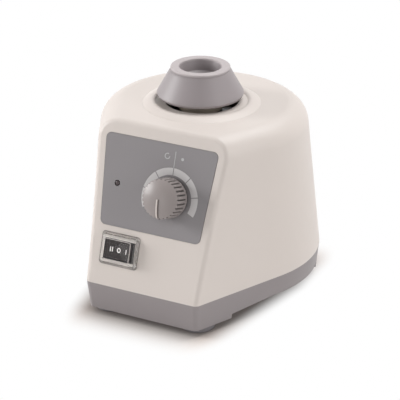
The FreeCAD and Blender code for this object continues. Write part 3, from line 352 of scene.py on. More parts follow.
class SurfaceEffects:
    """Shader node groups that several finishes share."""

    FINE_DETAIL: float = 3.0
    BROAD_DETAIL: float = 2.0
    DUST_DETAIL: float = 6.0
    GLOSS_SHARE: float = 0.05
    EDGE_PATCH_SCALE: float = 420.0
    EDGE_GAIN: float = 4.0
    DUST_SCALE: float = 160.0
    PAINTED_SHADE_SCALE: float = 240.0
    NOISE_MIDDLE: float = 0.5
    BEVEL_SAMPLES: int = 4
    GROOVE_SAMPLES: int = 6

    def __init__(self) -> None:
        """Builds the groups once."""
        self.grain = self._grain()
        self.drift = self._drift()
        self.wear_and_painted_edge = self._wear_and_painted_edge()
        self.dust = self._dust()
        self.painted_shade = self._painted_shade()

    def _grain(self) -> bpy.types.NodeTree:
        """Builds fine surface grain, and gloss that varies in broad patches.

        Returns:
            The group.
        """
        sheet, given = open_group(
            "moulding_grain", "ShaderNodeTree",
            {"Vector": "Vector", "Scale": "Float", "Roughness": "Float", "Spread": "Float"},
            {"Height": "Float", "Roughness": "Float"})
        fine = sheet.noise(given["Vector"], given["Scale"], self.FINE_DETAIL)
        wide = sheet.math("MULTIPLY", given["Scale"], self.GLOSS_SHARE)
        broad = sheet.noise(given["Vector"], wide, self.BROAD_DETAIL)
        offset = sheet.math("SUBTRACT", broad, self.NOISE_MIDDLE)
        gloss = sheet.math("MULTIPLY_ADD", offset, given["Spread"], given["Roughness"], clamp=True)
        return sheet.close(Height=fine, Roughness=gloss)

    def _drift(self) -> bpy.types.NodeTree:
        """Builds the slow change of tone over a moulding.

        Returns:
            The group.
        """
        sheet, given = open_group(
            "tone_drift", "ShaderNodeTree",
            {"Vector": "Vector", "Colour": "Color", "Drift": "Float", "Scale": "Float"}, {"Colour": "Color"})
        cloud = sheet.noise(given["Vector"], given["Scale"], self.BROAD_DETAIL)
        offset = sheet.math("SUBTRACT", cloud, self.NOISE_MIDDLE)
        swing = sheet.math("DIVIDE", offset, self.NOISE_MIDDLE)
        level = sheet.math("MULTIPLY_ADD", swing, given["Drift"], 1.0)
        toned = sheet.add("ShaderNodeHueSaturation", Color=given["Colour"], Value=level)
        return sheet.close(Colour=toned.outputs[0])

    def _wear_and_painted_edge(self) -> bpy.types.NodeTree:
        """Builds the mask of edges, for real wear and for painted edge light: where a rounded normal turns
        away from the true one.

        Returns:
            The group.
        """
        sheet, given = open_group(
            "edge_wear", "ShaderNodeTree", {"Vector": "Vector", "Radius": "Float", "Amount": "Float"},
            {"Mask": "Float"})
        soft = sheet.add("ShaderNodeBevel", {"samples": self.BEVEL_SAMPLES}, Radius=given["Radius"])
        true = sheet.add("ShaderNodeNewGeometry")
        match = sheet.add("ShaderNodeVectorMath", {"operation": "DOT_PRODUCT"},
                          at0=soft.outputs[0], at1=true.outputs["Normal"])
        turn = sheet.math("SUBTRACT", 1.0, match.outputs["Value"])
        patch = sheet.noise(given["Vector"], self.EDGE_PATCH_SCALE, self.FINE_DETAIL)
        strong = sheet.math("MULTIPLY", sheet.math("MULTIPLY", turn, patch), self.EDGE_GAIN)
        return sheet.close(Mask=sheet.math("MULTIPLY", strong, given["Amount"], clamp=True))

    def _dust(self) -> bpy.types.NodeTree:
        """Builds the mask of thin dust on faces that look upwards.

        Returns:
            The group.
        """
        sheet, given = open_group(
            "settled_dust", "ShaderNodeTree", {"Vector": "Vector", "Amount": "Float"}, {"Mask": "Float"})
        normal = sheet.add("ShaderNodeNewGeometry").outputs["Normal"]
        upward = sheet.add("ShaderNodeSeparateXYZ", at0=normal).outputs["Z"]
        speck = sheet.noise(given["Vector"], self.DUST_SCALE, self.DUST_DETAIL)
        lying = sheet.math("MULTIPLY", upward, speck, clamp=True)
        return sheet.close(Mask=sheet.math("MULTIPLY", lying, given["Amount"], clamp=True))

    def _painted_shade(self) -> bpy.types.NodeTree:
        """Builds the mask of painted shade in grooves, corners and places under other parts, from ambient
        occlusion broken up by noise.

        Returns:
            The group.
        """
        sheet, given = open_group(
            "groove_grime", "ShaderNodeTree", {"Vector": "Vector", "Distance": "Float", "Amount": "Float"},
            {"Mask": "Float"})
        air = sheet.add("ShaderNodeAmbientOcclusion", {"samples": self.GROOVE_SAMPLES},
                        Distance=given["Distance"])
        closed = sheet.math("SUBTRACT", 1.0, air.outputs["AO"])
        patch = sheet.noise(given["Vector"], self.PAINTED_SHADE_SCALE, self.FINE_DETAIL)
        uneven = sheet.math("ADD", patch, self.NOISE_MIDDLE)
        laid = sheet.math("MULTIPLY", closed, uneven)
        return sheet.close(Mask=sheet.math("MULTIPLY", laid, given["Amount"], clamp=True))


class FinishShop:
    """Makes one procedural material for each finish."""

    DRIFT_SCALE: float = 22.0
    BUMP_DISTANCE: float = 0.1 * MM

    def __init__(self) -> None:
        """Builds the shared effects and the finishes of the slots."""
        self.effects = SurfaceEffects()
        self.made: Dict[Finish, bpy.types.Material] = {}
        for finish in FINISHES:
            self.material(finish)

    def material(self, finish: Finish) -> bpy.types.Material:
        """Gives the material of a finish, which is made when first asked for.

        Args:
            finish: colours and surface values.

        Returns:
            The material.
        """
        if finish not in self.made:
            self.made[finish] = bpy.data.materials.new("finish_" + (finish.name or finish.slot))
            self._fill(clear_sheet(self.made[finish]), finish)
        return self.made[finish]

    def _fill(self, sheet: NodeSheet, finish: Finish) -> None:
        """Lays out a material's nodes.

        Args:
            sheet: the material's empty sheet.
            finish: colours and surface values.
        """
        place = sheet.add("ShaderNodeTexCoord").outputs["Object"]
        drawn = sheet.add("ShaderNodeMapping", Vector=place, Scale=finish.stretch).outputs[0]
        grain = self._effect(sheet, self.effects.grain, Vector=drawn, Scale=finish.grain_scale,
                             Roughness=finish.roughness, Spread=finish.spread)
        bump = sheet.add("ShaderNodeBump", Strength=finish.grain_depth, Distance=self.BUMP_DISTANCE,
                         Height=grain["Height"])
        shader = sheet.add("ShaderNodeBsdfPrincipled", Base_Color=self._colour(sheet, finish, place),
                           Roughness=grain["Roughness"], Normal=bump.outputs[0])
        for name, value in KIND_VALUES[finish.kind].items():
            shader.inputs[name].default_value = value
        if finish.specular is not None:
            shader.inputs["Specular IOR Level"].default_value = finish.specular
        sheet.add("ShaderNodeOutputMaterial", Surface=shader.outputs[0])

    def _colour(self, sheet: NodeSheet, finish: Finish, place: Socket) -> Socket:
        """Lays tone drift, edges that are worn and carry painted light, a painted highlight on a rim, painted
        shade in hollows, and dust over the base colour.

        Args:
            sheet: the material's nodes.
            finish: colours and amounts.
            place: the Object coordinates.

        Returns:
            The socket with the finished colour.
        """
        effects = self.effects
        toned = self._effect(sheet, effects.drift, Vector=place, Colour=finish.colour, Drift=finish.drift,
                             Scale=self.DRIFT_SCALE)[0]
        # Edges turn to the edge colour: partly real wear, partly a painted highlight along creases, and on
        # the cover's flange painted dark lines.
        if finish.wear_and_painted_edge > 0:
            edge_mask = self._effect(sheet, effects.wear_and_painted_edge, Vector=place, Radius=finish.wear_and_painted_edge_radius,
                                  Amount=finish.wear_and_painted_edge)
            toned = sheet.mix(edge_mask[0], toned, finish.worn_and_painted_edge_colour)
        # Painted highlight on a rim: above a given height the colour turns towards the edge colour, as if
        # lit.
        if finish.painted_rim_highlight is not None:
            height = sheet.add("ShaderNodeSeparateXYZ", at0=place).outputs["Z"]
            low, high = finish.painted_rim_highlight
            highlight_share = sheet.add("ShaderNodeMapRange", Value=height, From_Min=low, From_Max=high)
            toned = sheet.mix(highlight_share.outputs[0], toned, finish.worn_and_painted_edge_colour)
        # Painted shade: hollows and places under other parts turn towards the shade colour, where shade would
        # fall.
        if finish.painted_shade > 0:
            shaded_mask = self._effect(sheet, effects.painted_shade, Vector=place, Distance=finish.painted_shade_reach,
                                 Amount=finish.painted_shade)
            toned = sheet.mix(shaded_mask[0], toned, PAINTED_SHADE_COLOUR)
        if finish.dust > 0:
            dusty = self._effect(sheet, effects.dust, Vector=place, Amount=finish.dust)
            toned = sheet.mix(dusty[0], toned, DUST_COLOUR)
        return toned

    @staticmethod
    def _effect(sheet: NodeSheet, group: bpy.types.NodeTree, **inputs: Any) -> bpy.types.NodeOutputs:
        """Places a shared effect in a material and gives its outputs."""
        return sheet.add("ShaderNodeGroup", {"node_tree": group}, **inputs).outputs


def put(name: str, data: bpy.types.ID) -> bpy.types.Object:
    """Links a new object to the scene.

    Args:
        name: the object's name.
        data: its mesh, light or camera.

    Returns:
        The object.
    """
    made = bpy.data.objects.new(name, data)
    bpy.context.scene.collection.objects.link(made)
    return made


def settle(holder: bpy.types.Object) -> bpy.types.Mesh:
    """Turns an object with modifiers into a plain mesh and removes the object.

    Args:
        holder: the object with its modifiers.

    Returns:
        The plain mesh.
    """
    graph = bpy.context.evaluated_depsgraph_get()
    mesh = bpy.data.meshes.new_from_object(holder.evaluated_get(graph), preserve_all_data_layers=True,
                                           depsgraph=graph)
    holder.modifiers.clear()
    bpy.data.objects.remove(holder)
    return mesh


def edit(mesh: bpy.types.Mesh, change: Callable[[Work], None]) -> None:
    """Changes a mesh through a bmesh.

    Args:
        mesh: the mesh.
        change: what is done to the bmesh.
    """
    work = bmesh.new()
    work.from_mesh(mesh)
    change(work)
    work.to_mesh(mesh)
    work.free()


def weld(work: Work) -> None:
    """Joins the loose triangles of a CAD node's copy."""
    bmesh.ops.remove_doubles(work, verts=work.verts, dist=NODE_WELD)


def drop_slivers(work: Work) -> None:
    """Cuts the faces of a bmesh into triangles and takes out those without area.

    Args:
        work: the bmesh.
    """
    weld(work)
    bmesh.ops.triangulate(work, faces=work.faces)
    slivers = [face for face in work.faces if face.calc_area() < LEAST_AREA]
    bmesh.ops.delete(work, geom=slivers, context="FACES")


def smooth(mesh: bpy.types.Mesh, sharp: float) -> None:
    """Smooths a mesh, except for edges from a sharp angle in degrees."""
    mesh.shade_smooth()
    mesh.set_sharp_from_angle(angle=math.radians(sharp))


def smooth_copy(node: str, sharp: float) -> bpy.types.Mesh:
    """Copies a CAD node's mesh, joins its loose triangles and smooths its round faces.

    Args:
        node: the CAD node.
        sharp: angle in degrees from which an edge stays sharp.

    Returns:
        The smooth copy.
    """
    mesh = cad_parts[node].data.copy()
    given = mesh.attributes.get("custom_normal")
    if given is not None:
        mesh.attributes.remove(given)
    edit(mesh, weld)
    smooth(mesh, sharp)
    holder = put("smoothing", mesh)
    weigh = holder.modifiers.new("weigh", "WEIGHTED_NORMAL")
    weigh.mode = "FACE_AREA"
    weigh.keep_sharp = True
    return settle(holder)


def mesh_from(build: Callable[[Work], None], name: str) -> bpy.types.Mesh:
    """Makes a mesh with outward normals from a function that fills a bmesh.

    Args:
        build: fills the bmesh.
        name: the mesh's name.

    Returns:
        The mesh.
    """
    work = bmesh.new()
    build(work)
    bmesh.ops.remove_doubles(work, verts=work.verts, dist=FORM_WELD)
    bmesh.ops.recalc_face_normals(work, faces=work.faces)
    mesh = bpy.data.meshes.new(name)
    work.to_mesh(mesh)
    work.free()
    return mesh


def arc(centre: Vector, radius: float, start: float, sweep: float, steps: int) -> List[Vector]:
    """Lists points along a level arc.

    Args:
        centre: the arc's centre.
        radius: its radius.
        start: angle of its first point.
        sweep: angle from its first point to its last.
        steps: number of steps along it.

    Returns:
        The points, one more than the steps.
    """
    angles = [start + sweep * index / steps for index in range(steps + 1)]
    return [centre + Vector((math.cos(angle), math.sin(angle), 0)) * radius for angle in angles]


def bridge(work: Work, here: Sequence[bmesh.types.BMVert], there: Sequence[bmesh.types.BMVert],
           closed: bool = True) -> List[bmesh.types.BMFace]:
    """Joins two lines of points by faces.

    Args:
        work: the bmesh.
        here: points of one line.
        there: as many points of the other.
        closed: whether the last points are joined to the first.

    Returns:
        The faces in order.
    """
    faces = []
    for index in range(len(here) if closed else len(here) - 1):
        after = (index + 1) % len(here)
        faces.append(work.faces.new((here[index], here[after], there[after], there[index])))
    return faces


def plate(work: Work, outline: Sequence[Vector], out: Vector) -> None:
    """Adds a closed flat plate to a bmesh.

    Args:
        work: the bmesh.
        outline: corners of one face, in order.
        out: the way from that face to the other, as long as the plate is thick.
    """
    low, high = [[work.verts.new(point + way) for point in outline] for way in (Vector((0, 0, 0)), out)]
    work.faces.new(low)
    work.faces.new(high)
    bridge(work, low, high)


def band(work: Work, outer: Sequence[Vector], inner: Sequence[Vector], out: Vector) -> None:
    """Adds a closed flat ring to a bmesh.

    Args:
        work: the bmesh.
        outer: points of the ring's outer line, in order.
        inner: as many points of its inner line.
        out: the way from one face to the other, as long as the ring is thick.
    """
    low = [[work.verts.new(point) for point in loop] for loop in (outer, inner)]
    high = [[work.verts.new(point + out) for point in loop] for loop in (outer, inner)]
    for here, there in ((low[0], low[1]), (high[0], high[1]), (low[0], high[0]), (low[1], high[1])):
        bridge(work, here, there)


def lathe(work: Work, profile: Sequence[Point2], steps: int) -> None:
    """Turns a (radius, height) profile about the Z axis.

    Args:
        work: the bmesh.
        profile: points from the axis round to the axis.
        steps: number of faces round the axis.
    """
    chain = [work.verts.new((radius, 0.0, height)) for radius, height in profile]
    edges = [work.edges.new(pair) for pair in zip(chain, chain[1:])]
    bmesh.ops.spin(work, geom=chain + edges, cent=(0, 0, 0), axis=(0, 0, 1), angle=math.tau, steps=steps,
                   use_merge=True)


class RepeatTrees:
    """Geometry node trees for what repeats on the mixer."""

    def __init__(self) -> None:
        """Builds the trees once."""
        self.turned = self._turned()
        self.placed = self._placed()

    def _turned(self) -> bpy.types.NodeTree:
        """Builds copies of one shape, turned about the Z axis by equal steps.

        Returns:
            The tree.
        """
        sheet, given = open_group(
            "turned_copies", "GeometryNodeTree",
            {"Shape": "Geometry", "Count": "Int", "First Angle": "Float", "Step Angle": "Float",
             "Finish": "Material"},
            {"Shape": "Geometry"})
        spots = sheet.add("GeometryNodePoints", Count=given["Count"])
        index = sheet.add("GeometryNodeInputIndex")
        angle = sheet.math("MULTIPLY_ADD", index.outputs[0], given["Step Angle"], given["First Angle"])
        turn = sheet.add("ShaderNodeCombineXYZ", Z=angle)
        copies = sheet.add("GeometryNodeInstanceOnPoints", Points=spots.outputs[0], Instance=given["Shape"],
                           Rotation=turn.outputs[0])
        return self._end(sheet, copies.outputs[0], given["Finish"])

    def _placed(self) -> bpy.types.NodeTree:
        """Builds one copy of a template on each point of a mesh.

        Returns:
            The tree.
        """
        sheet, given = open_group(
            "placed_copies", "GeometryNodeTree",
            {"Spots": "Geometry", "Template": "Object", "Finish": "Material"}, {"Shape": "Geometry"})
        template = sheet.add("GeometryNodeObjectInfo", Object=given["Template"])
        copies = sheet.add("GeometryNodeInstanceOnPoints", Points=given["Spots"],
                           Instance=template.outputs["Geometry"])
        return self._end(sheet, copies.outputs[0], given["Finish"])

    @staticmethod
    def _end(sheet: NodeSheet, copies: Socket, finish: Socket) -> bpy.types.NodeTree:
        """Ends a tree with realized copies in their finish.

        Args:
            sheet: the tree's sheet.
            copies: the instances.
            finish: the material.

        Returns:
            The tree.
        """
        real = sheet.add("GeometryNodeRealizeInstances", Geometry=copies)
        dressed = sheet.add("GeometryNodeSetMaterial", Geometry=real.outputs[0], Material=finish)
        return sheet.close(Shape=dressed.outputs[0])

    @staticmethod
    def run(tree: bpy.types.NodeTree, mesh: bpy.types.Mesh, values: Dict[str, Any]) -> bpy.types.Mesh:
        """Runs a tree on a mesh.

        Args:
            tree: the geometry node tree.
            mesh: the mesh that goes in.
            values: the tree's inputs by name.

        Returns:
            The plain mesh that comes out.
        """
        holder = put(tree.name, mesh)
        modifier = holder.modifiers.new(tree.name, "NODES")
        modifier.node_group = tree
        for item in tree.interface.items_tree:
            if item.item_type == "SOCKET" and item.in_out == "INPUT" and item.name in values:
                modifier[item.identifier] = values[item.name]
        return settle(holder)


@dataclass(frozen=True)
class PanelPlane:
    """The leaning panel, with places given across it, up its slope and out of it."""

    front_y: float = -74 * MM
    seam_height: float = 20.7 * MM
    lean: float = math.radians(18.4)

    def matrix(self, across: float = 0.0, slope: float = 0.0, out: float = 0.0) -> Matrix:
        """Places something drawn with X across, Y up the slope and Z out of the panel.

        Args:
            across: distance across the panel from its middle.
            slope: distance up the slope from the seam.
            out: distance out of the panel.

        Returns:
            The placement.
        """
        sine, cosine = math.sin(self.lean), math.cos(self.lean)
        turn = Matrix(((1, 0, 0, 0), (0, sine, -cosine, 0), (0, cosine, sine, 0), (0, 0, 0, 1)))
        origin = Matrix.Translation((0, self.front_y, self.seam_height))
        return origin @ turn @ Matrix.Translation((across, slope, out))


@dataclass
class Bench:
    """What every assembly needs: finishes, repeat trees and the panel plane."""

    shop: FinishShop
    trees: RepeatTrees
    panel: PanelPlane = field(default_factory=PanelPlane)

    def piece(self, name: str, mesh: bpy.types.Mesh, body: str, finish: Finish) -> bpy.types.Object:
        """Puts a finished mesh in the scene and lets it ride on a body.

        Args:
            name: the piece's name.
            mesh: the mesh, in its place.
            body: the body that it rides on.
            finish: its finish.

        Returns:
            The piece.
        """
        mesh.name = name
        mesh.materials.clear()
        mesh.materials.append(self.shop.material(finish))
        made = put(name, mesh)
        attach(made, body)
        log.info("%s rides on %s: %d faces", name, body, len(mesh.polygons))
        return made

    def lay(self, name: str, mesh: bpy.types.Mesh, place: Matrix, body: str,
            finish: Finish) -> bpy.types.Object:
        """Puts a mesh that is drawn at the origin in its place as a piece.

        Args:
            name: the piece's name.
            mesh: the mesh.
            place: where it goes.
            body: the body that it rides on.
            finish: its finish.

        Returns:
            The piece.
        """
        mesh.transform(place)
        return self.piece(name, mesh, body, finish)

    def dress(self, node: str, body: str, finish: Finish, sharp: float = 32.0) -> bpy.types.Object:
        """Replaces a CAD node by its smooth copy in a finish.

        Args:
            node: the CAD node.
            body: the body that it belongs to.
            finish: its finish.
            sharp: angle in degrees from which an edge stays sharp.

        Returns:
            The piece.
        """
        made = self.piece(node + "_skin", smooth_copy(node, sharp), body, finish)
        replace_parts(made, node)
        return made

    def paint(self, node: str, slot: str) -> None:
        """Gives a CAD node that stays as it is the finish of its slot.

        Args:
            node: the CAD node.
            slot: the record's material slot.
        """
        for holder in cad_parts[node].material_slots:
            holder.material = self.shop.material(BY_SLOT[slot])
        log.info("%s keeps its CAD form in %s", node, slot)


@dataclass
class Housing:
    """Upper housing, base, feet and the screws that hold them."""

    bench: Bench
    body: str = "housing"
    feet: Tuple[str, ...] = ("front_left_foot", "front_right_foot", "rear_left_foot", "rear_right_foot")
    moulding_sharp: float = 24.0
    screw_sharp: float = 35.0
    screw_head_radius: float = 3.4 * MM
    screw_radius: float = 1.75 * MM
    head_face: float = 1.2 * MM
    head_seat: float = 3.6 * MM
    screw_end: float = 28.7 * MM
    edge_round: float = 0.5 * MM
    recess_width: float = 1.1 * MM
    recess_reach: float = 2.0 * MM
    recess_depth: float = 1.3 * MM
    round_steps: int = 40

    def build(self) -> None:
        """Dresses the mouldings and the feet, and makes the screws."""
        for node, slot in (("upper_housing", "housing_plastic"), ("base_tray", "base_plastic")):
            self.bench.dress(node, self.body, BY_SLOT[slot], self.moulding_sharp)
        for foot in self.feet:
            self.bench.dress(foot, self.body, BY_SLOT["foot_rubber"])
        self._screws()

    def _screw_mesh(self) -> bpy.types.Mesh:
        """Makes one base screw, head down, with a cross recess.

        Returns:
            The screw's mesh, with its axis on Z.
        """
        profile = [
            (0.0, self.head_face),
            (self.screw_head_radius - self.edge_round, self.head_face),
            (self.screw_head_radius, self.head_face + self.edge_round),
            (self.screw_head_radius, self.head_seat),
            (self.screw_radius, self.head_seat),
            (self.screw_radius, self.screw_end - self.screw_radius),
            (0.0, self.screw_end),
        ]
        screw = put("screw", mesh_from(lambda work: lathe(work, profile, self.round_steps), "screw"))
        cutter = put("cross", mesh_from(self._cross, "cross"))
        cut = screw.modifiers.new("recess", "BOOLEAN")
        cut.operation = "DIFFERENCE"
        cut.object = cutter
        mesh = settle(screw)
        bpy.data.objects.remove(cutter)
        edit(mesh, drop_slivers)
        return mesh

    def _cross(self, work: Work) -> None:
        """Fills a bmesh with the plus-shaped recess of a screw head.

        Args:
            work: the bmesh.
        """
        wide, reach = self.recess_width / 2, self.recess_reach
        bottom = self.head_face - self.recess_depth
        arm = [Vector((x, y, bottom)) for x, y in ((wide, wide), (wide, reach), (-wide, reach))]
        turns = [Matrix.Rotation(quarter * math.pi / 2, 3, "Z") for quarter in range(4)]
        outline = [turn @ corner for turn in turns for corner in arm]
        plate(work, outline, Vector((0, 0, 2 * self.recess_depth)))

    def _screws(self) -> None:
        """Puts a screw in each foot."""
        centres = []
        for foot in self.feet:
            low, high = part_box(foot)
            centres.append(((low[0] + high[0]) / 2, (low[1] + high[1]) / 2, 0.0))
        spots = bpy.data.meshes.new("screw_spots")
        spots.from_pydata(centres, [], [])
        steel = BY_SLOT["steel"]
        template = put("screw_template", self._screw_mesh())
        trees = self.bench.trees
        values = {"Template": template, "Finish": self.bench.shop.material(steel)}
        mesh = trees.run(trees.placed, spots, values)
        bpy.data.objects.remove(template)
        mesh.set_sharp_from_angle(angle=math.radians(self.screw_sharp))
        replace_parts(self.bench.piece("foot_screws", mesh, self.body, steel), "base_screws")


@dataclass
class ControlPanel:
    """Label with its printed scale, lamp and speed knob."""

    bench: Bench
    body: str = "housing"
    knob_body: str = "knob"
    knob_place: Point2 = (9.0 * MM, 55.8 * MM)
    label_face: float = 0.15 * MM
    print_rise: float = 0.04 * MM
    scale_place: Point2 = (9.3 * MM, 55.2 * MM)
    scale_inner: float = 13.2 * MM
    scale_outer: float = 17.2 * MM
    scale_segments: int = 6
    scale_start: float = math.radians(206)
    scale_sweep: float = math.radians(232)
    scale_gap: float = 0.55 * MM
    arc_steps: int = 14
    divider_low: float = 72.6 * MM
    divider_high: float = 81.5 * MM
    divider_width: float = 0.4 * MM
    divider_x: float = 9.2 * MM
    ring_place: Point2 = (4.4 * MM, 78.3 * MM)
    ring_radius: float = 1.7 * MM
    ring_width: float = 0.5 * MM
    ring_start: float = math.radians(60)
    ring_sweep: float = math.radians(300)
    ring_steps: int = 30
    dot_place: Point2 = (13.8 * MM, 77.9 * MM)
    dot_radius: float = 0.85 * MM
    dot_steps: int = 24
    pointer_left: float = -0.9 * MM
    pointer_width: float = 0.85 * MM
    # Width of the dark strip beside the pointer, a painted shadow.
    pointer_shadow_width: float = 0.75 * MM
    pointer_rise: float = 0.15 * MM
    pointer_sink: float = 0.3 * MM
    pointer_start: float = 0.02
    pointer_end: float = 0.92
    pointer_steps: int = 12
    pointer_drops: Tuple[float, ...] = (0.6 * MM, 1.4 * MM, 2.4 * MM)
    knob_base: float = 0.75 * MM
    knob_height: float = 12.9 * MM
    knob_face_radius: float = 11.0 * MM
    knob_base_radius: float = 11.3 * MM
    knob_skirt: float = 1.1 * MM
    knob_dome: float = 2.9 * MM
    knob_edge: float = 0.4 * MM
    knob_hollow_radius: float = 9.2 * MM
    knob_hollow_top: float = 5.9 * MM
    knob_sharp: float = 40.0
    flute_count: int = 28
    flute_depth: float = 0.95 * MM
    flute_share: float = 0.56
    flute_spots: Tuple[float, ...] = (0.0, 0.11, 0.22, 0.3, 0.37, 0.44, 0.5, 0.56, 0.63, 0.7, 0.78, 0.89, 1.0)
    flute_entry: float = 0.2
    dome_rings: Tuple[float, ...] = (0.985, 0.955, 0.92, 0.86, 0.76, 0.62, 0.46, 0.28, 0.1)
    dome_grooves: Tuple[float, ...] = (0.7, 0.2, 0.0, 0.0, 0.0, 0.0, 0.0, 0.0, 0.0)

    def build(self) -> None:
        """Dresses the label, the lamp and the knob, and prints the scale and its signs."""
        self.bench.dress("control_label", self.body, BY_SLOT["label_film"])
        self.bench.dress("indicator_lamp", self.body, BY_SLOT["lamp_lens"])
        for node, slot in (("pot_nut", "steel"), ("pot_shaft", "steel"), ("pot_body", "black_plastic")):
            self.bench.paint(node, slot)
        self._knob()
        self._scale()
        on_label = self.bench.panel.matrix(out=self.label_face)
        self.bench.lay("panel_signs", mesh_from(self._signs, "panel_signs"), on_label, self.body, MARK_INK)
        self._pointer()

    def _dome(self, reach: float) -> float:
        """Height of the knob's domed face at a distance from its axis."""
        ball = (self.knob_face_radius ** 2 + self.knob_dome ** 2) / (2 * self.knob_dome)
        return self.knob_base + self.knob_height - ball + math.sqrt(ball ** 2 - reach ** 2)

    def _knob_rings(self) -> List[Point3]:
        """Lists the knob's rings from its hollow underside to its face.

        Returns:
            Radius, height and share of the flutes' full depth of each ring.
        """
        low, wide, edge, face = self.knob_base, self.knob_base_radius, self.knob_edge, self.knob_face_radius
        top, start = low + self.knob_height, low + self.knob_skirt
        rings = [
            (0.0, self.knob_hollow_top, 0.0),
            (self.knob_hollow_radius, self.knob_hollow_top, 0.0),
            (self.knob_hollow_radius, low, 0.0),
            (wide - edge, low, 0.0),
            (wide, low + edge, 0.0),
            (wide, start - edge, 0.0),
            (wide - edge / 2, start, self.flute_entry),
            (wide - edge / 2, start + edge, 1.0),
            (face, top - self.knob_dome, 1.0),
        ]
        rings += [(share * face, self._dome(share * face), groove)
                  for share, groove in zip(self.dome_rings, self.dome_grooves)]
        return rings + [(0.0, top, 0.0)]

    def _flute(self, work: Work) -> None:
        """Fills a bmesh with the slice of the knob that holds one flute.

        Args:
            work: the bmesh.
        """
        turn = math.tau / self.flute_count
        rows = []
        for radius, height, share in self._knob_rings():
            row = []
            for spot in self.flute_spots:
                off = min(abs(spot - 0.5) / (self.flute_share / 2), 1.0)
                reach = max(radius - share * self.flute_depth * math.cos(off * math.pi / 2) ** 2, 0.0)
                angle = spot * turn
                row.append(work.verts.new((reach * math.cos(angle), reach * math.sin(angle), height)))
            rows.append(row)
        for below, above in zip(rows, rows[1:]):
            bridge(work, below, above, closed=False)

    def _turn(self, shape: bpy.types.Mesh, count: int, first: float, step: float,
              finish: Finish) -> bpy.types.Mesh:
        """Repeats a shape round the Z axis.

        Args:
            shape: the shape's mesh.
            count: number of copies.
            first: angle of the first copy.
            step: angle from one copy to the next.
            finish: their finish.

        Returns:
            The mesh of all copies.
        """
        trees = self.bench.trees
        values = {"Count": count, "First Angle": first, "Step Angle": step,
                  "Finish": self.bench.shop.material(finish)}
        return trees.run(trees.turned, shape, values)

    def _knob(self) -> None:
        """Makes the fluted knob from one slice, repeated round its axis."""
        finish = BY_SLOT["knob_plastic"]
        slices = self._turn(mesh_from(self._flute, "knob_slice"), self.flute_count, 0.0,
                            math.tau / self.flute_count, finish)
        mesh = mesh_from(lambda work: work.from_mesh(slices), "knob_form")
        smooth(mesh, self.knob_sharp)
        place = self.bench.panel.matrix(*self.knob_place)
        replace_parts(self.bench.lay("speed_knob_skin", mesh, place, self.knob_body, finish), "speed_knob")

    def _sector(self, work: Work, centre: Point2, radii: Point2, start: float, sweep: float,
                steps: int) -> None:
        """Adds a printed piece of a ring to a bmesh.

        Args:
            work: the bmesh.
            centre: the ring's centre.
            radii: its outer and inner radius.
            start: angle of its first end.
            sweep: angle from its first end to its last.
            steps: number of steps along it.
        """
        middle = Vector((*centre, 0))
        outside = arc(middle, radii[0], start, sweep, steps)
        inside = arc(middle, radii[1], start + sweep, -sweep, steps)
        plate(work, outside + inside, Vector((0, 0, self.print_rise)))

    def _segment(self, work: Work) -> None:
        """Fills a bmesh with one segment of the scale.

        Args:
            work: the bmesh.
        """
        sweep = self.scale_sweep / self.scale_segments - self.scale_gap / self.scale_outer
        radii = (self.scale_outer, self.scale_inner)
        self._sector(work, (0.0, 0.0), radii, -sweep / 2, sweep, self.arc_steps)

    def _scale(self) -> None:
        """Prints the segments of the scale round the knob."""
        step = self.scale_sweep / self.scale_segments
        mesh = self._turn(mesh_from(self._segment, "scale_segment"), self.scale_segments,
                          self.scale_start - step / 2, -step, SCALE_INK)
        place = self.bench.panel.matrix(*self.scale_place, self.label_face)
        self.bench.lay("scale_band", mesh, place, self.body, SCALE_INK)

    def _signs(self, work: Work) -> None:
        """Fills a bmesh with the divider line above the scale and a plain open ring and dot beside it.

        Args:
            work: the bmesh.
        """
        rise = Vector((0, 0, self.print_rise))
        left, right = self.divider_x - self.divider_width / 2, self.divider_x + self.divider_width / 2
        low, high = self.divider_low, self.divider_high
        corners = ((left, low), (right, low), (right, high), (left, high))
        plate(work, [Vector((*corner, 0)) for corner in corners], rise)
        radii = (self.ring_radius, self.ring_radius - self.ring_width)
        self._sector(work, self.ring_place, radii, self.ring_start, self.ring_sweep, self.ring_steps)
        circle = arc(Vector((*self.dot_place, 0)), self.dot_radius, 0.0, math.tau, self.dot_steps)
        plate(work, circle[:-1], rise)

    def _pointer_path(self) -> List[Point2]:
        """Lists the pointer's way over the knob's face, its rim and down its side.

        Returns:
            Distance from the knob's axis and height of each point.
        """
        face = self.knob_face_radius
        span = self.pointer_end - self.pointer_start
        reaches = [face * (self.pointer_start + span * index / self.pointer_steps)
                   for index in range(self.pointer_steps + 1)]
        shoulder = self._dome(face)
        lean = (self.knob_base_radius - face) / (shoulder - self.knob_base - self.knob_skirt)
        sides = [(face + drop * lean, shoulder - drop) for drop in self.pointer_drops]
        return [(reach, self._dome(reach)) for reach in reaches] + sides

    def _strip(self, work: Work, left: float, right: float) -> None:
        """Adds a strip along the pointer's way.

        Args:
            work: the bmesh.
            left: the strip's left edge.
            right: the strip's right edge.
        """
        path = self._pointer_path()
        rows = []
        for index, spot in enumerate(path):
            before, after = path[max(index - 1, 0)], path[min(index + 1, len(path) - 1)]
            along = Vector((after[0] - before[0], after[1] - before[1])).normalized()
            out = Vector((-along.y, along.x))
            lift, sink = Vector(spot) + out * self.pointer_rise, Vector(spot) - out * self.pointer_sink
            rows.append([work.verts.new((x, -edge.x, edge.y))
                         for x, edge in ((left, sink), (left, lift), (right, lift), (right, sink))])
        for here, there in zip(rows, rows[1:]):
            bridge(work, here, there)
        work.faces.new(rows[0])
        work.faces.new(rows[-1])

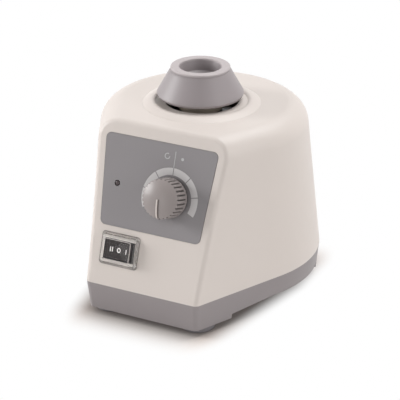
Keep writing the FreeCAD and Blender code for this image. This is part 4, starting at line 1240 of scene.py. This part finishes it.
    def _pointer(self) -> None:
        """Lays the pointer on the knob: a pale line with a dark strip on its right, a painted shadow."""
        place = self.bench.panel.matrix(*self.knob_place)
        left = self.pointer_left
        for name, width, finish in (("knob_pointer", self.pointer_width, POINTER_INK),
                                    ("knob_pointer_edge", self.pointer_shadow_width, POINTER_SHADOW)):
            mesh = mesh_from(lambda work: self._strip(work, left, left + width), name)
            self.bench.lay(name, mesh, place, self.knob_body, finish)
            left += width


class CoverZone(Enum):
    """Parts of the switch cover, by the order of their finishes."""

    WINDOW = 0
    RIM = 1
    EDGE = 2


@dataclass(frozen=True)
class CoverLayer:
    """One level line of the switch cover, in millimetres, and the zone of the faces above it."""

    half_width: float
    half_height: float
    corner: float
    out: float
    zone: CoverZone = CoverZone.WINDOW


@dataclass
class PowerSwitch:
    """Rocker switch with its bezel, printed marks and clear cover."""

    bench: Bench
    body: str = "housing"
    rocker_body: str = "rocker"
    place: Point2 = (-16.6 * MM, 21.3 * MM)
    body_sharp: float = 32.0
    rocker_width: float = 16.0 * MM
    end_rise: float = 2.3 * MM
    middle_rise: float = 1.4 * MM
    mark_rise: float = 0.05 * MM
    mark_height: float = 2.7 * MM
    mark_width: float = 0.5 * MM
    ring_width: float = 2.3 * MM
    ring_x: float = 0.2 * MM
    ring_steps: int = 28
    bars_x: Tuple[float, ...] = (4.9 * MM, -4.8 * MM, -3.6 * MM)
    # The faces in the edge zone, round the cover's top edge, take a pale finish as a painted highlight.
    cover_outside: Tuple[CoverLayer, ...] = (
        CoverLayer(11.7, 9.0, 1.6, 0.08, CoverZone.RIM), CoverLayer(11.7, 9.0, 1.6, 0.55, CoverZone.RIM),
        CoverLayer(11.45, 8.75, 1.5, 0.8, CoverZone.RIM), CoverLayer(11.05, 8.05, 1.5, 0.85),
        CoverLayer(10.9, 7.9, 1.5, 1.9), CoverLayer(8.6, 6.1, 1.2, 4.25, CoverZone.EDGE),
        CoverLayer(8.42, 5.92, 1.1, 4.44, CoverZone.EDGE), CoverLayer(8.22, 5.72, 1.0, 4.5),
    )
    cover_inside: Tuple[CoverLayer, ...] = (
        CoverLayer(10.4, 7.4, 1.0, 0.08), CoverLayer(10.35, 7.35, 1.0, 1.65), CoverLayer(8.2, 5.7, 1.0, 3.95),
    )
    cover_sharp: float = 30.0
    # A thin dark band round the flange, a painted shadow line.
    shadow_line_outer: CoverLayer = CoverLayer(12.0, 9.3, 1.9, 0.0)
    shadow_line_inner: CoverLayer = CoverLayer(11.6, 8.9, 1.5, 0.0)
    shadow_line_thickness: float = 0.07 * MM
    corner_steps: int = 6
    well_left: float = -8.85 * MM
    well_right: float = 10.1 * MM
    well_half: float = 5.85 * MM

    def __post_init__(self) -> None:
        """Works out the switch's placement on the panel."""
        self.seat = self.bench.panel.matrix(*self.place)

    def build(self) -> None:
        """Dresses the switch's pieces, prints the rocker's marks and makes the cover with a thin dark band
        round it, a painted shadow line.
        """
        self._bezel()
        self.bench.dress("switch_rocker", self.rocker_body, BY_SLOT["rocker_plastic"])
        self.bench.paint("switch_terminals", "brass")
        marks = mesh_from(self._marks, "rocker_marks")
        self.bench.lay("rocker_marks", marks, self.seat, self.rocker_body, SWITCH_INK)
        self._cover()
        shadow_line_mesh = mesh_from(self._shadow_line, "cover_gasket")
        self.bench.lay("cover_gasket", shadow_line_mesh, self.seat, self.body, SHADOW_LINE_RUBBER)

    def _score(self, work: Work) -> None:
        """Cuts faces along the border of the switch's well, so that the finish can change there.

        Args:
            work: the bmesh of the switch, in its place.
        """
        sides = ((0, self.well_left), (0, self.well_right), (1, -self.well_half), (1, self.well_half))
        for axis, distance in sides:
            point = Vector((0, 0, 0))
            point[axis] = distance
            bmesh.ops.bisect_plane(work, geom=work.verts[:] + work.edges[:] + work.faces[:],
                                   plane_co=self.seat @ point, plane_no=self.seat.to_3x3().col[axis])

    def _bezel(self) -> None:
        """Dresses the switch: a pale bezel on the panel, black in the well and behind."""
        mesh = smooth_copy("switch_body", self.body_sharp)
        edit(mesh, self._score)
        made = self.bench.piece("switch_body_skin", mesh, self.body, BY_SLOT["black_plastic"])
        mesh.materials.append(self.bench.shop.material(BEZEL_PLASTIC))
        back = self.seat.inverted()
        for face in mesh.polygons:
            spot = back @ face.center
            inside = self.well_left < spot.x < self.well_right and abs(spot.y) < self.well_half
            face.material_index = 0 if inside or spot.z < 0 else 1
        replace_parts(made, "switch_body")

    def _level_line(self, layer: CoverLayer) -> List[Vector]:
        """Lists the points of a rectangle with round corners.

        Args:
            layer: its sizes and its height over the panel.

        Returns:
            The points in order.
        """
        points = []
        wide, high = layer.half_width - layer.corner, layer.half_height - layer.corner
        for quarter, (side_x, side_y) in enumerate(((1, 1), (-1, 1), (-1, -1), (1, -1))):
            middle = Vector((side_x * wide, side_y * high, layer.out))
            points += arc(middle, layer.corner, quarter * math.pi / 2, math.pi / 2, self.corner_steps)
        return [point * MM for point in points]

    def _cover_form(self, work: Work) -> None:
        """Fills a bmesh with the cover: a flange and a hollow box with sloping walls.

        Args:
            work: the bmesh.
        """
        feet = []
        for layers in (self.cover_outside, self.cover_inside):
            rows = [[work.verts.new(point) for point in self._level_line(layer)] for layer in layers]
            for layer, below, above in zip(layers, rows, rows[1:]):
                for face in bridge(work, below, above):
                    face.material_index = layer.zone.value
            work.faces.new(rows[-1]).material_index = layers[-1].zone.value
            feet.append(rows[0])
        for face in bridge(work, *feet):
            face.material_index = CoverZone.RIM.value

    def _cover(self) -> None:
        """Makes the cover: clear roof and walls, a pale band round the top edge that is a painted highlight,
        and a pale flange with painted dark lines along its edges.
        """
        mesh = mesh_from(self._cover_form, "cover_form")
        zones = [face.material_index for face in mesh.polygons]
        smooth(mesh, self.cover_sharp)
        made = self.bench.lay("switch_cover_skin", mesh, self.seat, self.body, BY_SLOT["clear_cover"])
        for finish in (COVER_RIM, COVER_HIGHLIGHT):
            mesh.materials.append(self.bench.shop.material(finish))
        mesh.polygons.foreach_set("material_index", zones)
        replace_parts(made, "switch_cover")

    def _shadow_line(self, work: Work) -> None:
        """Fills a bmesh with the thin dark band round the cover's flange, a painted shadow line."""
        outer, inner = self._level_line(self.shadow_line_outer), self._level_line(self.shadow_line_inner)
        band(work, outer, inner, Vector((0, 0, self.shadow_line_thickness)))

    def _on_rocker(self, x: float, y: float) -> Vector:
        """Gives the point of the rocker's dished face over a place.

        Args:
            x: distance across from the switch's middle.
            y: distance up the slope from it.

        Returns:
            The point.
        """
        dish = (self.end_rise - self.middle_rise) * (2 * x / self.rocker_width) ** 2
        return Vector((x, y, self.middle_rise + dish))

    def _oval(self, half_width: float, half_height: float) -> List[Vector]:
        """Lists the points of an oval on the rocker.

        Args:
            half_width: half its width.
            half_height: half its height.

        Returns:
            The points in order.
        """
        angles = [math.tau * index / self.ring_steps for index in range(self.ring_steps)]
        return [self._on_rocker(self.ring_x + half_width * math.cos(angle), half_height * math.sin(angle))
                for angle in angles]

    def _marks(self, work: Work) -> None:
        """Fills a bmesh with a plain ring and bars, the usual off and on signs.

        Args:
            work: the bmesh.
        """
        lift = Vector((0, 0, self.mark_rise))
        tall, half = self.mark_height / 2, self.mark_width / 2
        for x in self.bars_x:
            corners = ((x - half, -tall), (x + half, -tall), (x + half, tall), (x - half, tall))
            plate(work, [self._on_rocker(*corner) for corner in corners], lift)
        wide = self.ring_width / 2
        band(work, self._oval(wide, tall), self._oval(wide - self.mark_width, tall - self.mark_width), lift)


@dataclass
class MixingHead:
    """Rubber cup on its hub and bearing."""

    bench: Bench
    body: str = "mixing_head"
    cup_sharp: float = 40.0

    def build(self) -> None:
        """Dresses the cup, the hub and the bearing's balls, and paints the rest of the bearing."""
        self.bench.dress("cup", self.body, BY_SLOT["cup_rubber"], self.cup_sharp)
        self.bench.dress("head_hub", self.body, LIGHTENED_HUB_PLASTIC)
        edit(self.bench.dress("bearing_balls", self.body, BY_SLOT["steel"]).data, drop_slivers)
        for node in ("bearing_outer_race", "bearing_inner_race", "bearing_screw"):
            self.bench.paint(node, "steel")


@dataclass
class Drive:
    """Motor, eccentric, floating mount, press switch and control board inside the housing."""

    bench: Bench
    body: str = "housing"
    press_joint: str = "head_press"
    press_travel: float = 1.5 * MM
    slots: Tuple[Tuple[str, str], ...] = (
        ("ballast_plate", "iron"), ("guide_posts", "steel"), ("motor_plate", "steel"),
        ("lower_bracket", "bracket_alloy"), ("upper_bracket", "bracket_alloy"), ("lower_bush", "brass"),
        ("upper_bush", "brass"), ("stator_stack", "steel"), ("stator_coils", "winding"),
        ("motor_bolts", "steel"), ("rotor_core", "steel"), ("motor_shaft", "steel"),
        ("eccentric_hub", "steel"), ("clamp_screw", "steel"), ("press_switch_body", "black_plastic"),
        ("press_switch_lever", "steel"), ("control_board", "board_laminate"),
        ("board_components", "black_plastic"),
    )

    def build(self) -> None:
        """Paints each hidden piece in its finish and dresses the dampers."""
        for node, slot in self.slots:
            self.bench.paint(node, slot)
        self._dampers()

    def _dampers(self) -> None:
        """Dresses the rubber dampers and gives their piece a mesh of its own."""
        made = self.bench.dress("vibration_dampers", self.body, BY_SLOT["black_rubber"])
        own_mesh(made)


@dataclass
class RearInlet:
    """Mains inlet in its pocket at the rear."""

    bench: Bench
    body: str = "housing"

    def build(self) -> None:
        """Dresses the inlet and its pins."""
        self.bench.dress("mains_inlet", self.body, BY_SLOT["black_plastic"])
        self.bench.dress("inlet_pins", self.body, BY_SLOT["brass"])


@dataclass(frozen=True)
class Lamp:
    """A square soft light: its name, place, width and power in watts."""

    name: str
    place: Point3
    size: float
    power: float


@dataclass
class Studio:
    """Pale floor, soft light, white surround and the photograph's camera."""

    azimuth: float = math.radians(27.24)
    elevation: float = math.radians(24.29)
    distance: float = 1.011
    focal_pixels: float = 1772.0
    sensor: float = 36.0
    clip: Point2 = (0.01, 50.0)
    aim: Point3 = (0.0, -0.01306, 0.06094)
    aim_right: float = 0.00497
    aim_up: float = -0.00710
    floor_half: float = 4.0
    floor_colour: Colour = (0.97, 0.957, 0.945)
    shadow_colour: Colour = (0.97, 0.865, 0.8)
    glow_colour: Colour = (1.0, 0.89, 0.85)
    floor_glow: float = 0.07
    shadow_half: Point2 = (47 * MM, 65.5 * MM)
    shadow_reach: Point2 = (15.5 * MM, 31 * MM)
    shadow_taper: float = 0.16
    shadow_back: float = 24 * MM
    taper_end: float = 10 * MM
    contact_reach: float = 28 * MM
    contact_samples: int = 8
    world_colour: Colour = (1.0, 0.985, 0.97)
    world_level: float = 0.21
    lamp_aim: Point3 = (0.0, 0.0, 0.06)
    lamps: Tuple[Lamp, ...] = (
        Lamp("top_light", (0.3, 0.6, 1.5), 1.1, 20.0), Lamp("left_light", (-1.35, -0.5, 0.5), 0.55, 15.0),
        Lamp("right_light", (1.35, -0.3, 0.5), 0.6, 4.5), Lamp("front_light", (-0.3, -1.6, 0.3), 0.6, 2.0),
    )

    def build(self) -> None:
        """Sets the stage."""
        bpy.context.scene.view_settings.view_transform = "Standard"
        self._camera()
        self._world()
        self._floor()
        for lamp in self.lamps:
            self._light(lamp)

    def _camera(self) -> None:
        """Places the camera at the photograph's view."""
        sine, cosine, level = math.sin(self.azimuth), math.cos(self.azimuth), math.cos(self.elevation)
        right = Vector((cosine, sine, 0))
        back = Vector((sine * level, -cosine * level, math.sin(self.elevation)))
        up = back.cross(right)
        data = bpy.data.cameras.new("photo_camera")
        data.sensor_width = self.sensor
        data.lens = self.focal_pixels * self.sensor / IMAGE_SIZE
        data.clip_start, data.clip_end = self.clip
        camera = put("photo_camera", data)
        place = Vector(self.aim) + right * self.aim_right + up * self.aim_up + back * self.distance
        turn = Matrix((right, up, back)).transposed().to_4x4()
        camera.matrix_world = Matrix.Translation(place) @ turn
        bpy.context.scene.camera = camera

    def _world(self) -> None:
        """Lights softly all round, with a surround that the camera and reflections see as white."""
        world = bpy.data.worlds.new("studio_surround")
        sheet = clear_sheet(world)
        light = sheet.add("ShaderNodeBackground", Color=self.world_colour, Strength=self.world_level)
        white = sheet.add("ShaderNodeBackground", Color=WHITE, Strength=1.0)
        seen = self._seen(sheet)
        both = sheet.add("ShaderNodeMixShader", at0=seen, at1=light.outputs[0], at2=white.outputs[0])
        sheet.add("ShaderNodeOutputWorld", Surface=both.outputs[0])
        bpy.context.scene.world = world

    @staticmethod
    def _seen(sheet: NodeSheet) -> Socket:
        """Gives one for rays that show the surround: from the camera, in gloss or through clear plastic.

        Args:
            sheet: the nodes of the world or of the floor.

        Returns:
            The socket with that mask.
        """
        path = sheet.add("ShaderNodeLightPath").outputs
        shown = sheet.math("MAXIMUM", path["Is Camera Ray"], path["Is Glossy Ray"])
        return sheet.math("MAXIMUM", shown, path["Is Transmission Ray"])

    def _past_shadow(self, sheet: NodeSheet) -> Socket:
        """Gives zero on the floor under the base, rising to one where its soft shadow ends.

        Args:
            sheet: the floor's nodes.

        Returns:
            The socket with that mask.
        """
        place = sheet.add("ShaderNodeTexCoord").outputs["Object"]
        parts = sheet.add("ShaderNodeSeparateXYZ", at0=place).outputs
        behind = sheet.math("ADD", parts["Y"], self.shadow_back)
        along = sheet.math("MAXIMUM", behind, sheet.math("MULTIPLY", parts["Y"], -1.0))
        ahead = sheet.math("MINIMUM", parts["Y"], self.taper_end)
        across = sheet.math("ABSOLUTE", parts["X"])
        flank = sheet.math("MULTIPLY_ADD", ahead, -self.shadow_taper, across)
        shares = [
            sheet.add("ShaderNodeMapRange", Value=way, From_Min=half, From_Max=half + reach).outputs[0]
            for way, half, reach in zip((flank, along), self.shadow_half, self.shadow_reach)
        ]
        both = sheet.add("ShaderNodeCombineXYZ", X=shares[0], Y=shares[1])
        gone = sheet.add("ShaderNodeVectorMath", {"operation": "LENGTH"}, at0=both.outputs[0])
        return sheet.add("ShaderNodeMapRange", {"interpolation_type": "SMOOTHSTEP"},
                         Value=gone.outputs["Value"]).outputs[0]

    def _paper(self) -> bpy.types.Material:
        """Makes the floor's material: it takes the shadow near the base, deepened by painted contact shade in
        a warm colour, and shows as white elsewhere.

        Returns:
            The material.
        """
        made = bpy.data.materials.new("floor_paper")
        sheet = clear_sheet(made)
        seen = self._seen(sheet)
        # Painted contact shade: ambient occlusion darkens the floor seen by the camera towards the warm
        # shadow colour near the mixer.
        painted_contact_shade = sheet.add("ShaderNodeAmbientOcclusion", {"samples": self.contact_samples},
                            Color=self.shadow_colour, Distance=self.contact_reach)
        shown = sheet.mix(seen, self.floor_colour, painted_contact_shade.outputs["Color"])
        paper = sheet.add("ShaderNodeBsdfDiffuse", Color=shown)
        glow = sheet.add("ShaderNodeEmission", Color=self.glow_colour,
                         Strength=sheet.math("MULTIPLY", seen, self.floor_glow))
        near = sheet.add("ShaderNodeAddShader", at0=paper.outputs[0], at1=glow.outputs[0])
        away = sheet.math("MULTIPLY", self._past_shadow(sheet), seen)
        white = sheet.add("ShaderNodeEmission", Color=WHITE, Strength=1.0)
        both = sheet.add("ShaderNodeMixShader", at0=away, at1=near.outputs[0], at2=white.outputs[0])
        sheet.add("ShaderNodeOutputMaterial", Surface=both.outputs[0])
        return made

    def _floor(self) -> None:
        """Lays the wide pale floor."""
        half = self.floor_half
        mesh = bpy.data.meshes.new("studio_floor")
        corners = [(-half, -half, 0), (half, -half, 0), (half, half, 0), (-half, half, 0)]
        mesh.from_pydata(corners, [], [(0, 1, 2, 3)])
        mesh.materials.append(self._paper())
        put("studio_floor", mesh)

    def _light(self, lamp: Lamp) -> None:
        """Adds a soft light that points at the mixer.

        Args:
            lamp: its name, place, size and power.
        """
        data = bpy.data.lights.new(lamp.name, "AREA")
        data.shape = "SQUARE"
        data.size = lamp.size
        data.energy = lamp.power
        light = put(lamp.name, data)
        light.location = lamp.place
        light.rotation_mode = "QUATERNION"
        light.rotation_quaternion = (Vector(self.lamp_aim) - Vector(lamp.place)).to_track_quat("-Z", "Y")


def main() -> None:
    """Builds the assemblies in order."""
    logging.basicConfig(level=logging.INFO, format="%(name)s: %(message)s")
    bench = Bench(FinishShop(), RepeatTrees())
    for assembly in (Housing(bench), ControlPanel(bench), PowerSwitch(bench), MixingHead(bench), Drive(bench),
                     RearInlet(bench)):
        assembly.build()
        log.info("%s is done", type(assembly).__name__)
    Studio().build()


if __name__ == "__main__":
    main()
